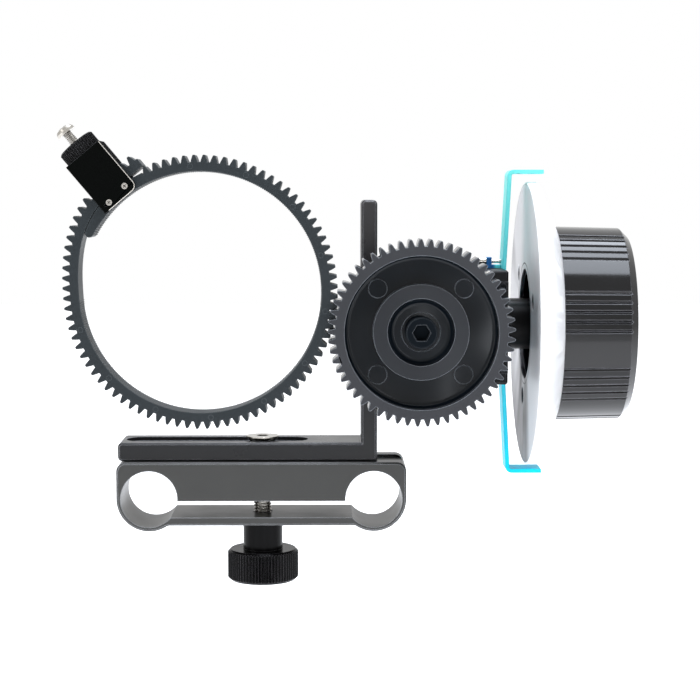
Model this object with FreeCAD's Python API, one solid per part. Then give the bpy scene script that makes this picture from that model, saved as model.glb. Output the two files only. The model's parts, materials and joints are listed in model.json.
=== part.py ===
import FreeCAD, Part
import math
import os

from FreeCAD import Vector

# Follow focus unit for a camera rig on two parallel rods. Sizes are in millimetres.
# X runs to the handwheel, Y runs along the rods away from the lens side, Z is up.
# The origin is midway between the two rod axes, halfway through the clamp's depth.

# Fits
running_gap = 0.05          # radial gap of a shaft or screw that turns in its hole
slide_gap = 0.05            # gap between flat faces that slide on each other
screw_gap = 0.15            # radial gap round a screw that only passes through
small_chamfer = 0.5         # on the ends of screws and on small bosses

# Rods and clamp block
rod_diameter = 15.0
rod_spacing = 60.0
clamp_depth = 20.0
clamp_wall = 1.15
clamp_bridge = 1.2         # from the top of a rod's ring to the clamp's top
clamp_corner = 2.5
clamp_edge = 0.45
slit_top = -0.5
slit_width = 4.4
jaw_thickness = 2.25
jaw_blend = 1.6
channel_width = 10.5        # of the shallow guide channel in the clamp's top
channel_depth = 0.9
channel_end = 0.9           # from the channel's ends to the clamp's sides
channel_corner = 2.5

# Clamp screw, washer and thumb nut
clamp_screw_diameter = 5.0
clamp_head_diameter = 9.0
clamp_head_rim = 0.3
clamp_head_proud = 0.95
clamp_socket_width = 3.0
clamp_socket_depth = 1.2
nut_washer_thickness = 0.5
nut_collar_diameter = 10.7
nut_collar_length = 7.3
nut_knob_diameter = 19.2
nut_knob_length = 8.5
nut_ribs = 68
nut_rib_depth = 0.45
nut_chamfer = 0.8
nut_dish_diameter = 11.0
nut_dish_depth = 0.6

# Angle bracket
leg_thickness = 5.0
bracket_depth = 16.0
leg_left = -38.4
arm_thickness = 4.3
arm_right = 30.9
arm_top = 79.6
bracket_corner = 1.2
bracket_edge = 0.5
slot_head_gap = 0.15        # round the clamp screw's head in its slot
slot_gap = 0.2              # round a screw in its slot
leg_slot_wall = 1.5         # from the leg's left end to its slot
leg_slot_right = 12.4
arm_slot_low = 31.0
arm_slot_high = 69.4

# Gearbox
axis_height = 46.3          # height of the handwheel and drive gear axes above the rods
gearbox_width = 34.0
gearbox_height = 30.0
gearbox_front = -16.0
gearbox_back = 14.0
gearbox_edge = 0.5
gear_axis_inset = 10.45     # from the gearbox's left side to the drive gear's axis
housing_left_wall = 2.95
housing_sleeve_wall = 7.95
housing_back_wall = 4.5
housing_roof = 6.5
cover_thickness = 2.0
cover_margin = 3.0          # height of the housing's own lip above and below the front cover
cover_screw_inset = 1.35
cover_screw_head = 1.7
cover_screw_diameter = 1.1
cover_screw_length = 6.0
cover_screw_sink = 0.2      # how far a screw's head lies below the cover's face
cover_screw_head_height = 0.8
boss_diameter = 19.0
boss_length = 6.6

# Lock screw of the gearbox on the arm
lock_screw_diameter = 5.0
lock_screw_tip_gap = 0.2
lock_screw_reach = 5.4
lock_boss_wall = 1.0
lock_washer_thickness = 1.0
lock_washer_diameter = 11.0
lock_knob_diameter = 13.0
lock_knob_length = 5.2
lock_knob_chamfer = 0.6
lock_ribs = 36

# Gears
gear_module = 0.8
pressure_angle = 20.0
gear_backlash = 0.16        # total play between two meshed flanks on the pitch circle
drive_teeth = 57
drive_gap = 1.4             # from the cover's boss to the drive gear
drive_width = 11.0
mitre_teeth = 16
mitre_face = 3.0
mitre_bore_diameter = 6.0
mitre_hub_radius = 5.6
mitre_hub_length = 3.2
mitre_screw_diameter = 2.0
mitre_screw_recess = 0.2
mitre_socket_depth = 1.0

# Shafts and bushes
shaft_diameter = 8.0
bush_wall = 1.4
bush_length = 6.0
thrust_thickness = 0.9
sleeve_relief = 0.5         # how much wider the sleeve's bore is between its two bushes
spacer_wall = 2.4

# Drive gear's front
gear_rim_wall = 2.4
gear_web_recess = 6.0
gear_web_fillet = 1.2
hub_ring_radius = 12.2
hub_ring_recess = 3.0
hub_bowl_radius = 8.5
hub_bowl_recess = 5.0
hub_bowl_fillet = 1.7
hub_well_radius = 4.95
hub_well_recess = 5.5
well_floor = 1.5            # thickness that the gear's screw clamps against the shaft's end
gear_back_recess = 2.5
web_pad_radius = 2.4
web_pad_circle = 15.5
web_pad_height = 0.35
gear_screw_head = 8.0
gear_screw_head_height = 4.6
gear_screw_diameter = 5.0
gear_screw_socket = 4.0
gear_screw_socket_depth = 1.6

# Lens gear ring
ring_teeth = 84
band_wall = 2.25            # from the lens to the roots of the band's teeth
ring_width = 8.0
ring_inset = 1.2            # how far the ring's front lies behind the drive gear's front
mesh_angle = -10.4          # direction from the ring's centre to the drive gear
block_angle = 130.1         # direction of the ring's tightening block
lap_height = 3.0            # rise of the outer layer where the band overlaps itself
lap_start = 184.0
lap_end = 136.0
lap_gap = 0.15
tongue_end = 151.8
smooth_end = 115.8
tail_length = 9.6

# Tightening block of the ring
block_left = -5.2
block_right = 5.3
cover_right = 4.7
block_lens_gap = 0.35
block_roof_gap = 0.6        # between the tail's teeth and the block's roof
block_roof_height = 7.1
block_wall = 1.2
block_side_gap = 0.2
block_corner = 1.6
block_screw_head = 1.5
block_screw_diameter = 0.75
block_screw_head_height = 0.6
block_screw_proud = 0.15
block_screw_left = -3.3
block_screw_right = 2.3
block_screw_inset_left = 1.95   # from the lens to the axes of the cover's screws
block_screw_inset_right = 2.55
ring_screw_diameter = 2.5
ring_screw_head = 5.0
ring_screw_head_height = 1.8
ring_screw_free = 3.3
ring_nut_diameter = 10.0
ring_nut_length = 3.5
ring_nut_ribs = 50
ring_nut_rib_depth = 0.25
ring_nut_chamfer = 0.35
foot_diameter = 5.1
foot_thickness = 1.2
foot_travel = 2.2           # room for the foot in the block's roof
foot_gap = 0.05

# Index plate
index_thickness = 1.1
index_width = 8.4
index_pad_radius = 11.0
index_sink = 0.6
index_lean = 1.3
index_gap_high = 2.2        # between the disc's rim and the plate's upper bent tip
index_gap_low = 1.1         # and its lower bent tip
index_overhang = 4.45       # how far the tips reach past the disc's back
index_bend = 1.7
index_screw_gap = 2.45      # from the sleeve to the axes of the plate's screws
index_screw_diameter = 2.0
index_screw_length = 5.0
tab_width = 3.0
tab_length = 3.9
tab_height = 2.9
tab_thickness = 0.9
ear_thickness = 1.35
ear_screw_head = 2.2
ear_screw_head_length = 2.2
ear_screw_diameter = 1.0
ear_screw_drop = 1.1        # from the tab's upper end to the screw's axis

# Handwheel
sleeve_diameter = 13.7
disc_gap = 5.9              # from the gearbox to the disc
disc_diameter = 76.0
disc_rim = 2.85
disc_hole_diameter = 29.6
disc_hole_chamfer = 0.9     # on the side of the knob
back_plate_thickness = 1.2
back_plate_lip = 0.6
disc_wall = 1.6
disc_depth = 7.7
knob_length = 19.2
knob_diameter = 52.2
knob_taper = 0.4
knob_chamfer = 2.0
groove_groups = 8
grooves_per_group = 5
groove_pitch = 5.6
groove_depth = 0.9
groove_share = 1.05         # a groove's width at the surface as a share of the pitch
groove_turn = 10.4          # from the front (-Y) up to the middle of a group of grooves
knob_wall = 6.0
knob_floor = 6.0
knob_dish_depth = 2.4
knob_dish_radius = 14.0
sleeve_end_gap = 1.0
knob_shelf = 2.0            # thickness of the knob's inner rim beside the disc
knob_bore_step = 1.0        # how much wider the knob's opening is than the disc's hole
knob_hub_wall = 3.5
knob_hub_length = 3.5
knob_seat_depth = 1.6
hub_thread = 8.0            # depth of the tapped hole in a shaft's end
stem_step = 2.6             # from the knob's side to its stem in the disc
disc_screw_inset = 3.3      # from the stem's outside to the circle of the disc's screws
disc_screw_count = 3
disc_screw_turn = -80.0     # direction of the first disc screw, from the back (+Y) upwards
disc_screw_diameter = 3.0
disc_screw_head = 4.8
disc_screw_length = 6.0
disc_screw_sink = 0.2
hub_screw_diameter = 4.0
hub_screw_head = 7.2
hub_screw_head_height = 2.2
hub_screw_socket = 2.5
hub_screw_socket_depth = 1.2

# Worked out from the sizes above
rod_offset = rod_spacing / 2
bore_radius = rod_diameter / 2 + running_gap
ring_wall_radius = bore_radius + clamp_wall
clamp_top = ring_wall_radius + clamp_bridge
clamp_half_width = rod_offset + ring_wall_radius
slit_bottom = slit_top - slit_width
jaw_bottom = slit_bottom - jaw_thickness
leg_bottom = clamp_top + slide_gap
leg_top = leg_bottom + leg_thickness
leg_slot_left = leg_left + leg_slot_wall
leg_slot_width = clamp_head_diameter + 2 * slot_head_gap
leg_slot_neck = clamp_screw_diameter + 2 * slot_gap
arm_slot_width = lock_screw_diameter + 2 * slot_gap
leg_slot_step = clamp_head_rim + (clamp_head_diameter - leg_slot_neck) / 2 - clamp_head_proud
head_top = leg_top + clamp_head_proud
nut_top = jaw_bottom - nut_washer_thickness - slide_gap
nut_bottom = nut_top - nut_collar_length - nut_knob_length
arm_left = arm_right - arm_thickness
gearbox_left = arm_right + slide_gap
gearbox_right = gearbox_left + gearbox_width
gearbox_low = axis_height - gearbox_height / 2
gearbox_high = axis_height + gearbox_height / 2
cover_low = gearbox_low + cover_margin
cover_high = gearbox_high - cover_margin
cover_inner = gearbox_front + cover_thickness
boss_front = gearbox_front - boss_length
cavity_left = gearbox_left + housing_left_wall
cavity_right = gearbox_right - housing_sleeve_wall
cavity_back = gearbox_back - housing_back_wall
cavity_half_height = gearbox_height / 2 - housing_roof
lock_boss_radius = lock_screw_diameter / 2 + lock_boss_wall
shaft_radius = shaft_diameter / 2
bush_radius = shaft_radius + running_gap + bush_wall
mitre_radius = gear_module * mitre_teeth / 2
cone_distance = mitre_radius * math.sqrt(2)
mitre_shrink = (cone_distance - mitre_face) / cone_distance
addendum = gear_module
dedendum = 1.25 * gear_module
mitre_back = mitre_radius + dedendum * math.sqrt(0.5) + mitre_hub_length
drive_radius = gear_module * drive_teeth / 2
ring_radius = gear_module * ring_teeth / 2
ring_inner = ring_radius - dedendum - band_wall
gear_rim_radius = drive_radius - dedendum - gear_rim_wall
drive_back = boss_front - drive_gap
drive_front = drive_back - drive_width
gear_axis_x = gearbox_left + gear_axis_inset
centre_distance = drive_radius + ring_radius
ring_x = gear_axis_x - centre_distance * math.cos(math.radians(mesh_angle))
ring_z = axis_height - centre_distance * math.sin(math.radians(mesh_angle))
ring_front = drive_front + ring_inset
ring_back = ring_front + ring_width
block_bottom = ring_inner + block_lens_gap
block_roof = ring_radius + lap_height + addendum + block_roof_gap
block_top = block_roof + block_roof_height
block_front = ring_front - block_side_gap - block_wall
block_back = ring_back + block_side_gap + block_wall
block_middle = (ring_front + ring_back) / 2
index_left = gearbox_right - index_sink
sleeve_radius = sleeve_diameter / 2
disc_radius = disc_diameter / 2
disc_back = gearbox_right + disc_gap
index_tip = disc_back + index_overhang
index_screw_spread = sleeve_radius + index_screw_gap
knob_radius = knob_diameter / 2
knob_left = disc_back + disc_depth
knob_right = knob_left + knob_length
stem_outer_radius = knob_radius - stem_step
disc_screw_circle = stem_outer_radius - disc_screw_inset
sleeve_left = gear_axis_x + mitre_back + thrust_thickness + 2 * slide_gap
sleeve_right = knob_right - knob_floor - knob_hub_length - sleeve_end_gap
shaft_end = knob_right - knob_floor + knob_seat_depth
stem_left = disc_back + back_plate_thickness
wheel_axis = Vector(1, 0, 0)
gear_axis = Vector(0, -1, 0)


def box(x0, x1, y0, y1, z0, z1):
    return Part.makeBox(x1 - x0, y1 - y0, z1 - z0, Vector(x0, y0, z0))


def bar(start, direction, radius, length):
    return Part.makeCylinder(radius, length, start, direction)


def face_of(points):
    return Part.Face(Part.makePolygon(points + [points[0]]))


def aimed(shape, origin, axis):
    """Move a shape made along +Z so that its +Z runs along the axis from the origin."""
    turn = FreeCAD.Rotation(Vector(0, 0, 1), axis)
    moved = shape.copy()
    moved.Placement = FreeCAD.Placement(origin, turn).multiply(moved.Placement)
    return moved


def turned(profile, origin, axis):
    """Revolve a closed outline of (radius, distance) points about an axis."""
    outline = face_of([Vector(r, 0, a) for r, a in profile])
    solid = outline.revolve(Vector(0, 0, 0), Vector(0, 0, 1), 360)
    return aimed(solid, origin, axis)


def tube(start, direction, inner, outer, length):
    return turned([(inner, 0), (outer, 0), (outer, length), (inner, length)], start, direction)


def facing(shape, x, y, z):
    """Stand a flat shape up to face the front: its X stays, its Y goes up, its Z goes to -Y."""
    turn = FreeCAD.Rotation(Vector(1, 0, 0), 90)
    moved = shape.copy()
    moved.Placement = FreeCAD.Placement(Vector(x, y, z), turn).multiply(moved.Placement)
    return moved


def ribbed(radius, depth, count, length):
    """A bar with straight V ribs all round, along +Z."""
    step = 2 * math.pi / count
    points = []
    for rib in range(count):
        top = rib * step
        low = top + step / 2
        points.append(Vector(radius * math.cos(top), radius * math.sin(top), 0))
        points.append(Vector((radius - depth) * math.cos(low), (radius - depth) * math.sin(low), 0))
    return face_of(points).extrude(Vector(0, 0, length))


def hexagon(width, depth):
    """A six-sided prism along +Z, measured across its flats."""
    reach = width / math.sqrt(3)
    corners = [math.radians(60 * k) for k in range(6)]
    points = [Vector(reach * math.cos(a), reach * math.sin(a), 0) for a in corners]
    return face_of(points).extrude(Vector(0, 0, depth))


def bevel(shape, size, picks):
    """Chamfer the edges that the test picks."""
    edges = [edge for edge in shape.Edges if picks(edge)]
    return shape.makeChamfer(size, edges)


def slot_prism(x0, x1, width, z0, z1):
    """A vertical slot along X with round ends, centred on Y = 0."""
    half = width / 2
    straight = box(x0 + half, x1 - half, -half, half, z0, z1)
    left = bar(Vector(x0 + half, 0, z0), Vector(0, 0, 1), half, z1 - z0)
    right = bar(Vector(x1 - half, 0, z0), Vector(0, 0, 1), half, z1 - z0)
    return straight.fuse([left, right]).removeSplitter()


def involute(radius, base):
    """The angle that an involute has unwound by at this radius."""
    if radius <= base:
        return 0.0
    slope = math.acos(base / radius)
    return math.tan(slope) - slope


def tooth_half_angle(radius, teeth):
    """Half of the angle that a tooth spans at this radius."""
    pitch = gear_module * teeth / 2
    base = pitch * math.cos(math.radians(pressure_angle))
    pitch_half = (math.pi * gear_module / 2 - gear_backlash / 2) / (2 * pitch)
    return pitch_half + involute(pitch, base) - involute(radius, base)


def tooth_flank(teeth):
    """Three points up one flank: (sideways, outward) from the pitch point, root to tip."""
    pitch = gear_module * teeth / 2
    points = []
    for radius in (pitch - dedendum, pitch, pitch + addendum):
        half = tooth_half_angle(radius, teeth)
        points.append((radius * math.sin(half), radius * math.cos(half) - pitch))
    return points


def clamp_block():
    width = clamp_half_width
    outline = box(-width, width, -clamp_depth / 2, clamp_depth / 2, 0, clamp_top)
    corners = [e for e in outline.Edges if abs(e.CenterOfMass.z - clamp_top) < 0.001
               and abs(abs(e.CenterOfMass.x) - width) < 0.001]
    body = outline.makeFillet(clamp_corner, corners)
    rings = []
    bores = []
    for side in (-1, 1):
        start = Vector(side * rod_offset, -clamp_depth / 2, 0)
        rings.append(bar(start, Vector(0, 1, 0), ring_wall_radius, clamp_depth))
        bores.append(bar(start, Vector(0, 1, 0), bore_radius, clamp_depth))
    jaw = box(-rod_offset, rod_offset, -clamp_depth / 2, clamp_depth / 2, jaw_bottom, 0)
    body = body.fuse(rings + [jaw]).removeSplitter()
    meet = rod_offset - math.sqrt(ring_wall_radius ** 2 - jaw_bottom ** 2)

    def jaw_corner(edge):
        middle = edge.CenterOfMass
        return abs(abs(middle.x) - meet) < 0.01 and abs(middle.z - jaw_bottom) < 0.01

    body = body.makeFillet(jaw_blend, [edge for edge in body.Edges if jaw_corner(edge)])

    def outer_edge(edge):
        on_face = abs(abs(edge.CenterOfMass.y) - clamp_depth / 2) < 0.001
        return on_face and edge.BoundBox.YLength < 0.001

    body = bevel(body, clamp_edge, outer_edge)
    slit = box(-rod_offset, rod_offset, -clamp_depth, clamp_depth, slit_bottom, slit_top)
    screw_hole = bar(Vector(0, 0, jaw_bottom - 1), Vector(0, 0, 1),
                     clamp_screw_diameter / 2 + screw_gap, clamp_top - jaw_bottom + 2)
    return body.cut(bores + [slit, screw_hole, clamp_channel()]).removeSplitter()


def clamp_channel():
    """The shallow round-cornered channel along the clamp's top, under the bracket."""
    reach = clamp_half_width - channel_end
    half = channel_width / 2
    channel = box(-reach, reach, -half, half, clamp_top - channel_depth, clamp_top + 1)
    upright = [edge for edge in channel.Edges if edge.BoundBox.ZLength > channel_depth]
    return channel.makeFillet(channel_corner, upright)


def clamp_screw():
    radius = clamp_screw_diameter / 2
    head = clamp_head_diameter / 2
    under = head_top - clamp_head_rim - (head - radius)
    end = nut_bottom + nut_dish_depth + small_chamfer
    profile = [(0, end), (radius - small_chamfer, end), (radius, end + small_chamfer), (radius, under),
               (head, head_top - clamp_head_rim), (head, head_top), (0, head_top)]
    body = turned(profile, Vector(0, 0, 0), Vector(0, 0, 1))
    socket = hexagon(clamp_socket_width, clamp_socket_depth + 1)
    socket.translate(Vector(0, 0, head_top - clamp_socket_depth))
    return body.cut(socket)


def nut_washer():
    start = Vector(0, 0, jaw_bottom - nut_washer_thickness)
    return tube(start, Vector(0, 0, 1), clamp_screw_diameter / 2 + screw_gap,
                nut_collar_diameter / 2, nut_washer_thickness)


def thumb_nut():
    collar = nut_collar_diameter / 2
    knob = nut_knob_diameter / 2
    bore = clamp_screw_diameter / 2 + running_gap
    knob_top = nut_top - nut_collar_length
    ribs = ribbed(knob, nut_rib_depth, nut_ribs, nut_knob_length)
    ribs.translate(Vector(0, 0, nut_bottom))
    envelope = turned([(0, nut_bottom), (knob - nut_chamfer, nut_bottom),
                       (knob, nut_bottom + nut_chamfer), (knob, knob_top - nut_chamfer),
                       (knob - nut_chamfer, knob_top), (0, knob_top)],
                      Vector(0, 0, 0), Vector(0, 0, 1))
    collar_bar = bar(Vector(0, 0, knob_top), Vector(0, 0, 1), collar, nut_collar_length)
    body = ribs.common(envelope).fuse(collar_bar)
    dish = bar(Vector(0, 0, nut_bottom - 1), Vector(0, 0, 1), nut_dish_diameter / 2,
               nut_dish_depth + 1)
    hole = bar(Vector(0, 0, nut_bottom - 1), Vector(0, 0, 1), bore, nut_top - nut_bottom + 2)
    return body.cut([dish, hole]).removeSplitter()


def bracket():
    half = bracket_depth / 2
    leg = box(leg_left, arm_right, -half, half, leg_bottom, leg_top)
    arm = box(arm_left, arm_right, -half, half, leg_bottom, arm_top)
    body = leg.fuse(arm).removeSplitter()

    def rounded(edge):
        middle = edge.CenterOfMass
        along_y = edge.BoundBox.YLength > half
        at_end = abs(middle.x - leg_left) < 0.001 or abs(middle.z - arm_top) < 0.001
        return along_y and at_end

    body = body.makeFillet(bracket_corner, [edge for edge in body.Edges if rounded(edge)])

    def face_edge(edge):
        return edge.BoundBox.YLength < 0.001 and abs(abs(edge.CenterOfMass.y) - half) < 0.001

    body = bevel(body, bracket_edge, face_edge)
    step = slot_prism(leg_slot_left, leg_slot_right, leg_slot_width,
                      leg_top - leg_slot_step, leg_top + 1)
    ease = (leg_slot_width - leg_slot_neck) / 2
    neck = slot_prism(leg_slot_left + ease, leg_slot_right - ease, leg_slot_neck,
                      leg_bottom - 1, leg_top)
    arm_slot = slot_prism(-arm_slot_high, -arm_slot_low, arm_slot_width, 0, arm_thickness + 2)
    arm_slot.rotate(Vector(0, 0, 0), Vector(0, 1, 0), 90)
    arm_slot.translate(Vector(arm_left - 1, 0, 0))
    return body.cut([step, neck, arm_slot])


def cover_screw_places():
    across = (gearbox_left + cover_screw_inset, gearbox_right - cover_screw_inset)
    up = (cover_low + cover_screw_inset, cover_high - cover_screw_inset)
    return [(x, z) for x in across for z in up]


def gearbox_housing():
    body = box(gearbox_left, gearbox_right, gearbox_front, gearbox_back, gearbox_low, gearbox_high)

    def long_edge(edge):
        return edge.CenterOfMass.x > gearbox_left + 0.001

    body = bevel(body, gearbox_edge, long_edge)
    half = cavity_half_height
    cavity = box(cavity_left, cavity_right, cover_inner - 1, cavity_back,
                 axis_height - half, axis_height + half)
    lock_boss = bar(Vector(gearbox_left, 0, axis_height), wheel_axis, lock_boss_radius,
                    lock_screw_reach)
    cavity = cavity.cut(lock_boss)
    cover_seat = box(gearbox_left - 1, gearbox_right + 1, gearbox_front - 1, cover_inner,
                     cover_low, cover_high)
    sleeve_hole = bar(Vector(cavity_right - 1, 0, axis_height), wheel_axis, sleeve_radius,
                      gearbox_right)
    lock_hole = bar(Vector(gearbox_left - 1, 0, axis_height), wheel_axis,
                    lock_screw_diameter / 2 + running_gap, lock_screw_reach + 2)
    cuts = [cavity, cover_seat, sleeve_hole, lock_hole, index_seat()]
    for x, z in cover_screw_places():
        cuts.append(bar(Vector(x, gearbox_front, z), Vector(0, 1, 0), cover_screw_diameter / 2,
                        cover_screw_length))
    for z in index_screw_heights():
        start = Vector(index_left - index_screw_length, 0, z)
        cuts.append(bar(start, wheel_axis, index_screw_diameter / 2, 2 * index_screw_length))
    return body.cut(cuts)


def gearbox_cover():
    body = box(gearbox_left, gearbox_right, gearbox_front, cover_inner, cover_low, cover_high)
    radius = boss_diameter / 2
    boss = turned([(0, 0), (radius, 0), (radius, boss_length - small_chamfer),
                   (radius - small_chamfer, boss_length), (0, boss_length)],
                  Vector(gear_axis_x, gearbox_front, axis_height), gear_axis)
    body = body.fuse(boss)
    bore = bar(Vector(gear_axis_x, cover_inner + 1, axis_height), gear_axis, bush_radius,
               cover_inner - boss_front + 2)
    cuts = [bore]
    for x, z in cover_screw_places():
        start = Vector(x, gearbox_front - 1, z)
        head_depth = cover_screw_sink + cover_screw_head_height
        cuts.append(bar(start, Vector(0, 1, 0), cover_screw_head / 2, head_depth + 1))
        cuts.append(bar(start, Vector(0, 1, 0), cover_screw_diameter / 2, cover_screw_length))
    return body.cut(cuts)


def cover_screws():
    head = cover_screw_head / 2
    shank = cover_screw_diameter / 2
    top = cover_screw_sink
    seat = top + cover_screw_head_height
    profile = [(0, top), (head, top), (head, seat), (shank, seat), (shank, cover_screw_length),
               (0, cover_screw_length)]
    return [turned(profile, Vector(x, gearbox_front, z), Vector(0, 1, 0))
            for x, z in cover_screw_places()]


def lock_screw():
    radius = lock_screw_diameter / 2
    knob = lock_knob_diameter / 2
    length = lock_knob_length
    ease = lock_knob_chamfer
    knob_end = arm_left - lock_washer_thickness - 2 * slide_gap
    reach = gearbox_left + lock_screw_reach - lock_screw_tip_gap - knob_end
    ribs = ribbed(knob, nut_rib_depth, lock_ribs, length)
    envelope = turned([(0, 0), (knob - ease, 0), (knob, ease), (knob, length - ease),
                       (knob - ease, length), (0, length)], Vector(0, 0, 0), Vector(0, 0, 1))
    head = aimed(ribs.common(envelope), Vector(knob_end - length, 0, axis_height), wheel_axis)
    shank = turned([(0, 0), (radius, 0), (radius, reach - small_chamfer),
                    (radius - small_chamfer, reach), (0, reach)],
                   Vector(knob_end, 0, axis_height), wheel_axis)
    return head.fuse(shank)


def lock_washer():
    start = Vector(arm_left - lock_washer_thickness - slide_gap, 0, axis_height)
    return tube(start, wheel_axis, lock_screw_diameter / 2 + screw_gap,
                lock_washer_diameter / 2, lock_washer_thickness)


def wheel_sleeve():
    start = Vector(sleeve_left, 0, axis_height)
    length = sleeve_right - sleeve_left
    far = length - bush_length
    relief = shaft_radius + sleeve_relief
    profile = [(bush_radius, 0), (sleeve_radius, 0), (sleeve_radius, length), (bush_radius, length),
               (bush_radius, far), (relief, far), (relief, bush_length), (bush_radius, bush_length)]
    return turned(profile, start, wheel_axis)


def shaft_bush(start, direction):
    return tube(start, direction, shaft_radius + running_gap, bush_radius, bush_length)


def sleeve_bushes():
    left = shaft_bush(Vector(sleeve_left, 0, axis_height), wheel_axis)
    right = shaft_bush(Vector(sleeve_right - bush_length, 0, axis_height), wheel_axis)
    return [left, right]


def cover_bush():
    return tube(Vector(gear_axis_x, cover_inner, axis_height), gear_axis,
                shaft_radius + running_gap, bush_radius, cover_inner - boss_front)


def index_screw_heights():
    return (axis_height - index_screw_spread, axis_height + index_screw_spread)


def index_seat():
    """The shallow recess for the index plate: a strip with a round pad at the sleeve."""
    half = index_width / 2
    depth = index_sink + 1
    strip = box(index_left, index_left + depth, -half, half, gearbox_low - 1, gearbox_high + 1)
    pad = bar(Vector(index_left, 0, axis_height), wheel_axis, index_pad_radius, depth)
    return strip.fuse(pad).removeSplitter()


def index_arm(side):
    """One arm of the index plate: it leans out to the disc and turns over its rim."""
    root = gearbox_height / 2
    gap = index_gap_high if side > 0 else index_gap_low
    outer = disc_radius + gap + index_thickness
    reach = outer - index_bend
    bend = index_bend
    inner = bend - index_thickness
    lean = index_left + index_lean
    tip = index_tip
    thick = index_thickness
    corner = math.sqrt(0.5)
    outer_mid = Vector(lean + bend - bend * corner, 0, reach + bend * corner)
    inner_mid = Vector(lean + bend - inner * corner, 0, reach + inner * corner)
    p = [Vector(index_left, 0, root), Vector(lean, 0, reach), Vector(lean + bend, 0, outer),
         Vector(tip, 0, outer), Vector(tip, 0, outer - thick),
         Vector(lean + bend, 0, outer - thick), Vector(lean + thick, 0, reach),
         Vector(index_left + thick, 0, root)]
    edges = [Part.makeLine(p[0], p[1]), Part.Arc(p[1], outer_mid, p[2]).toShape(),
             Part.makeLine(p[2], p[3]), Part.makeLine(p[3], p[4]), Part.makeLine(p[4], p[5]),
             Part.Arc(p[5], inner_mid, p[6]).toShape(), Part.makeLine(p[6], p[7]),
             Part.makeLine(p[7], p[0])]
    arm = Part.Face(Part.Wire(edges)).extrude(Vector(0, index_width, 0))
    arm.translate(Vector(0, -index_width / 2, 0))
    if side < 0:
        arm = arm.mirror(Vector(0, 0, 0), Vector(0, 0, 1))
    arm.translate(Vector(0, 0, axis_height))
    return arm


def index_plate():
    flat = box(index_left, index_left + index_thickness, -index_width / 2, index_width / 2,
               gearbox_low, gearbox_high)
    pad = bar(Vector(index_left, 0, axis_height), wheel_axis, index_pad_radius, index_thickness)
    ear_left = index_left - tab_length
    web = box(ear_left, index_left + index_thickness, -tab_width / 2, tab_width / 2,
              gearbox_high, gearbox_high + tab_thickness)
    ear = box(ear_left, ear_left + ear_thickness, -tab_width / 2, tab_width / 2,
              gearbox_high, gearbox_high + tab_height)
    body = flat.fuse([pad, web, ear, index_arm(1), index_arm(-1)])
    sleeve_hole = bar(Vector(index_left - 1, 0, axis_height), wheel_axis,
                      sleeve_radius + screw_gap, index_thickness + 2)
    cuts = [sleeve_hole, ear_screw_shank()]
    radius = index_screw_diameter / 2
    for z in index_screw_heights():
        cuts.append(turned([(0, -1), (radius, -1), (radius, index_thickness - radius),
                            (radius * 2, index_thickness), (radius * 2, index_thickness + 1),
                            (0, index_thickness + 1)], Vector(index_left, 0, z), wheel_axis))
    return body.cut(cuts).removeSplitter()


def index_screws():
    screws = []
    radius = index_screw_diameter / 2
    low = -index_screw_length
    for z in index_screw_heights():
        profile = [(0, low), (radius, low), (radius, index_thickness - radius),
                   (radius * 2, index_thickness), (0, index_thickness)]
        screws.append(turned(profile, Vector(index_left, 0, z), wheel_axis))
    return screws


def ear_screw_start():
    return Vector(index_left - tab_length, 0, gearbox_high + tab_height - ear_screw_drop)


def ear_screw_shank():
    return bar(ear_screw_start(), wheel_axis, ear_screw_diameter / 2, tab_length + index_thickness / 2)


def ear_screw():
    radius = ear_screw_head / 2
    long = ear_screw_head_length
    ease = small_chamfer / 2
    head = turned([(0, 0), (radius, 0), (radius, long - ease), (radius - ease, long), (0, long)],
                  ear_screw_start(), Vector(-1, 0, 0))
    return head.fuse(ear_screw_shank())


def mitre_gear(turn):
    """A bevel gear with its axis on +Z and its apex at the origin."""
    slope = math.sqrt(0.5)
    virtual_teeth = mitre_teeth / slope
    along = Vector(slope, 0, -slope)
    pitch_point = Vector(mitre_radius, 0, mitre_radius)
    flank = tooth_flank(virtual_teeth)
    root_side, root_out = flank[0]
    sunk = (root_side, root_out - 0.4)
    half = [sunk] + flank
    outline = half + [(-side, out) for side, out in reversed(half)]
    large = [pitch_point + Vector(0, side, 0) + along * out for side, out in outline]
    small = [point * mitre_shrink for point in large]
    tooth = Part.makeLoft([Part.makePolygon(large + [large[0]]),
                           Part.makePolygon(small + [small[0]])], True, True)
    root = pitch_point - along * dedendum
    bore = mitre_bore_diameter / 2
    profile = [(bore, root.z * mitre_shrink), (root.x * mitre_shrink, root.z * mitre_shrink),
               (root.x, root.z), (mitre_hub_radius, root.z + 0.1), (mitre_hub_radius, mitre_back),
               (bore, mitre_back)]
    body = turned(profile, Vector(0, 0, 0), Vector(0, 0, 1))
    teeth = []
    for k in range(mitre_teeth):
        copy = tooth.copy()
        copy.rotate(Vector(0, 0, 0), Vector(0, 0, 1), turn + k * 360.0 / mitre_teeth)
        teeth.append(copy)
    screw_hole = bar(Vector(0, 0, mitre_screw_place()), Vector(0, 1, 0), mitre_screw_diameter / 2,
                     mitre_hub_radius + 1)
    return body.fuse(teeth).removeSplitter().cut(screw_hole)


def mitre_screw_place():
    """How far the set screw of a bevel gear's hub lies from the gear's apex."""
    return mitre_back - mitre_hub_length / 2


def mitre_set_screw():
    """The headless screw that holds a bevel gear on its shaft, with its hex socket outward."""
    start = mitre_bore_diameter / 2
    length = mitre_hub_radius - start - mitre_screw_recess
    screw = bar(Vector(0, start, mitre_screw_place()), Vector(0, 1, 0), mitre_screw_diameter / 2,
                length)
    socket = aimed(hexagon(mitre_screw_diameter / 2, mitre_socket_depth + 1),
                   Vector(0, start + length - mitre_socket_depth, mitre_screw_place()),
                   Vector(0, 1, 0))
    return screw.cut(socket)


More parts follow.
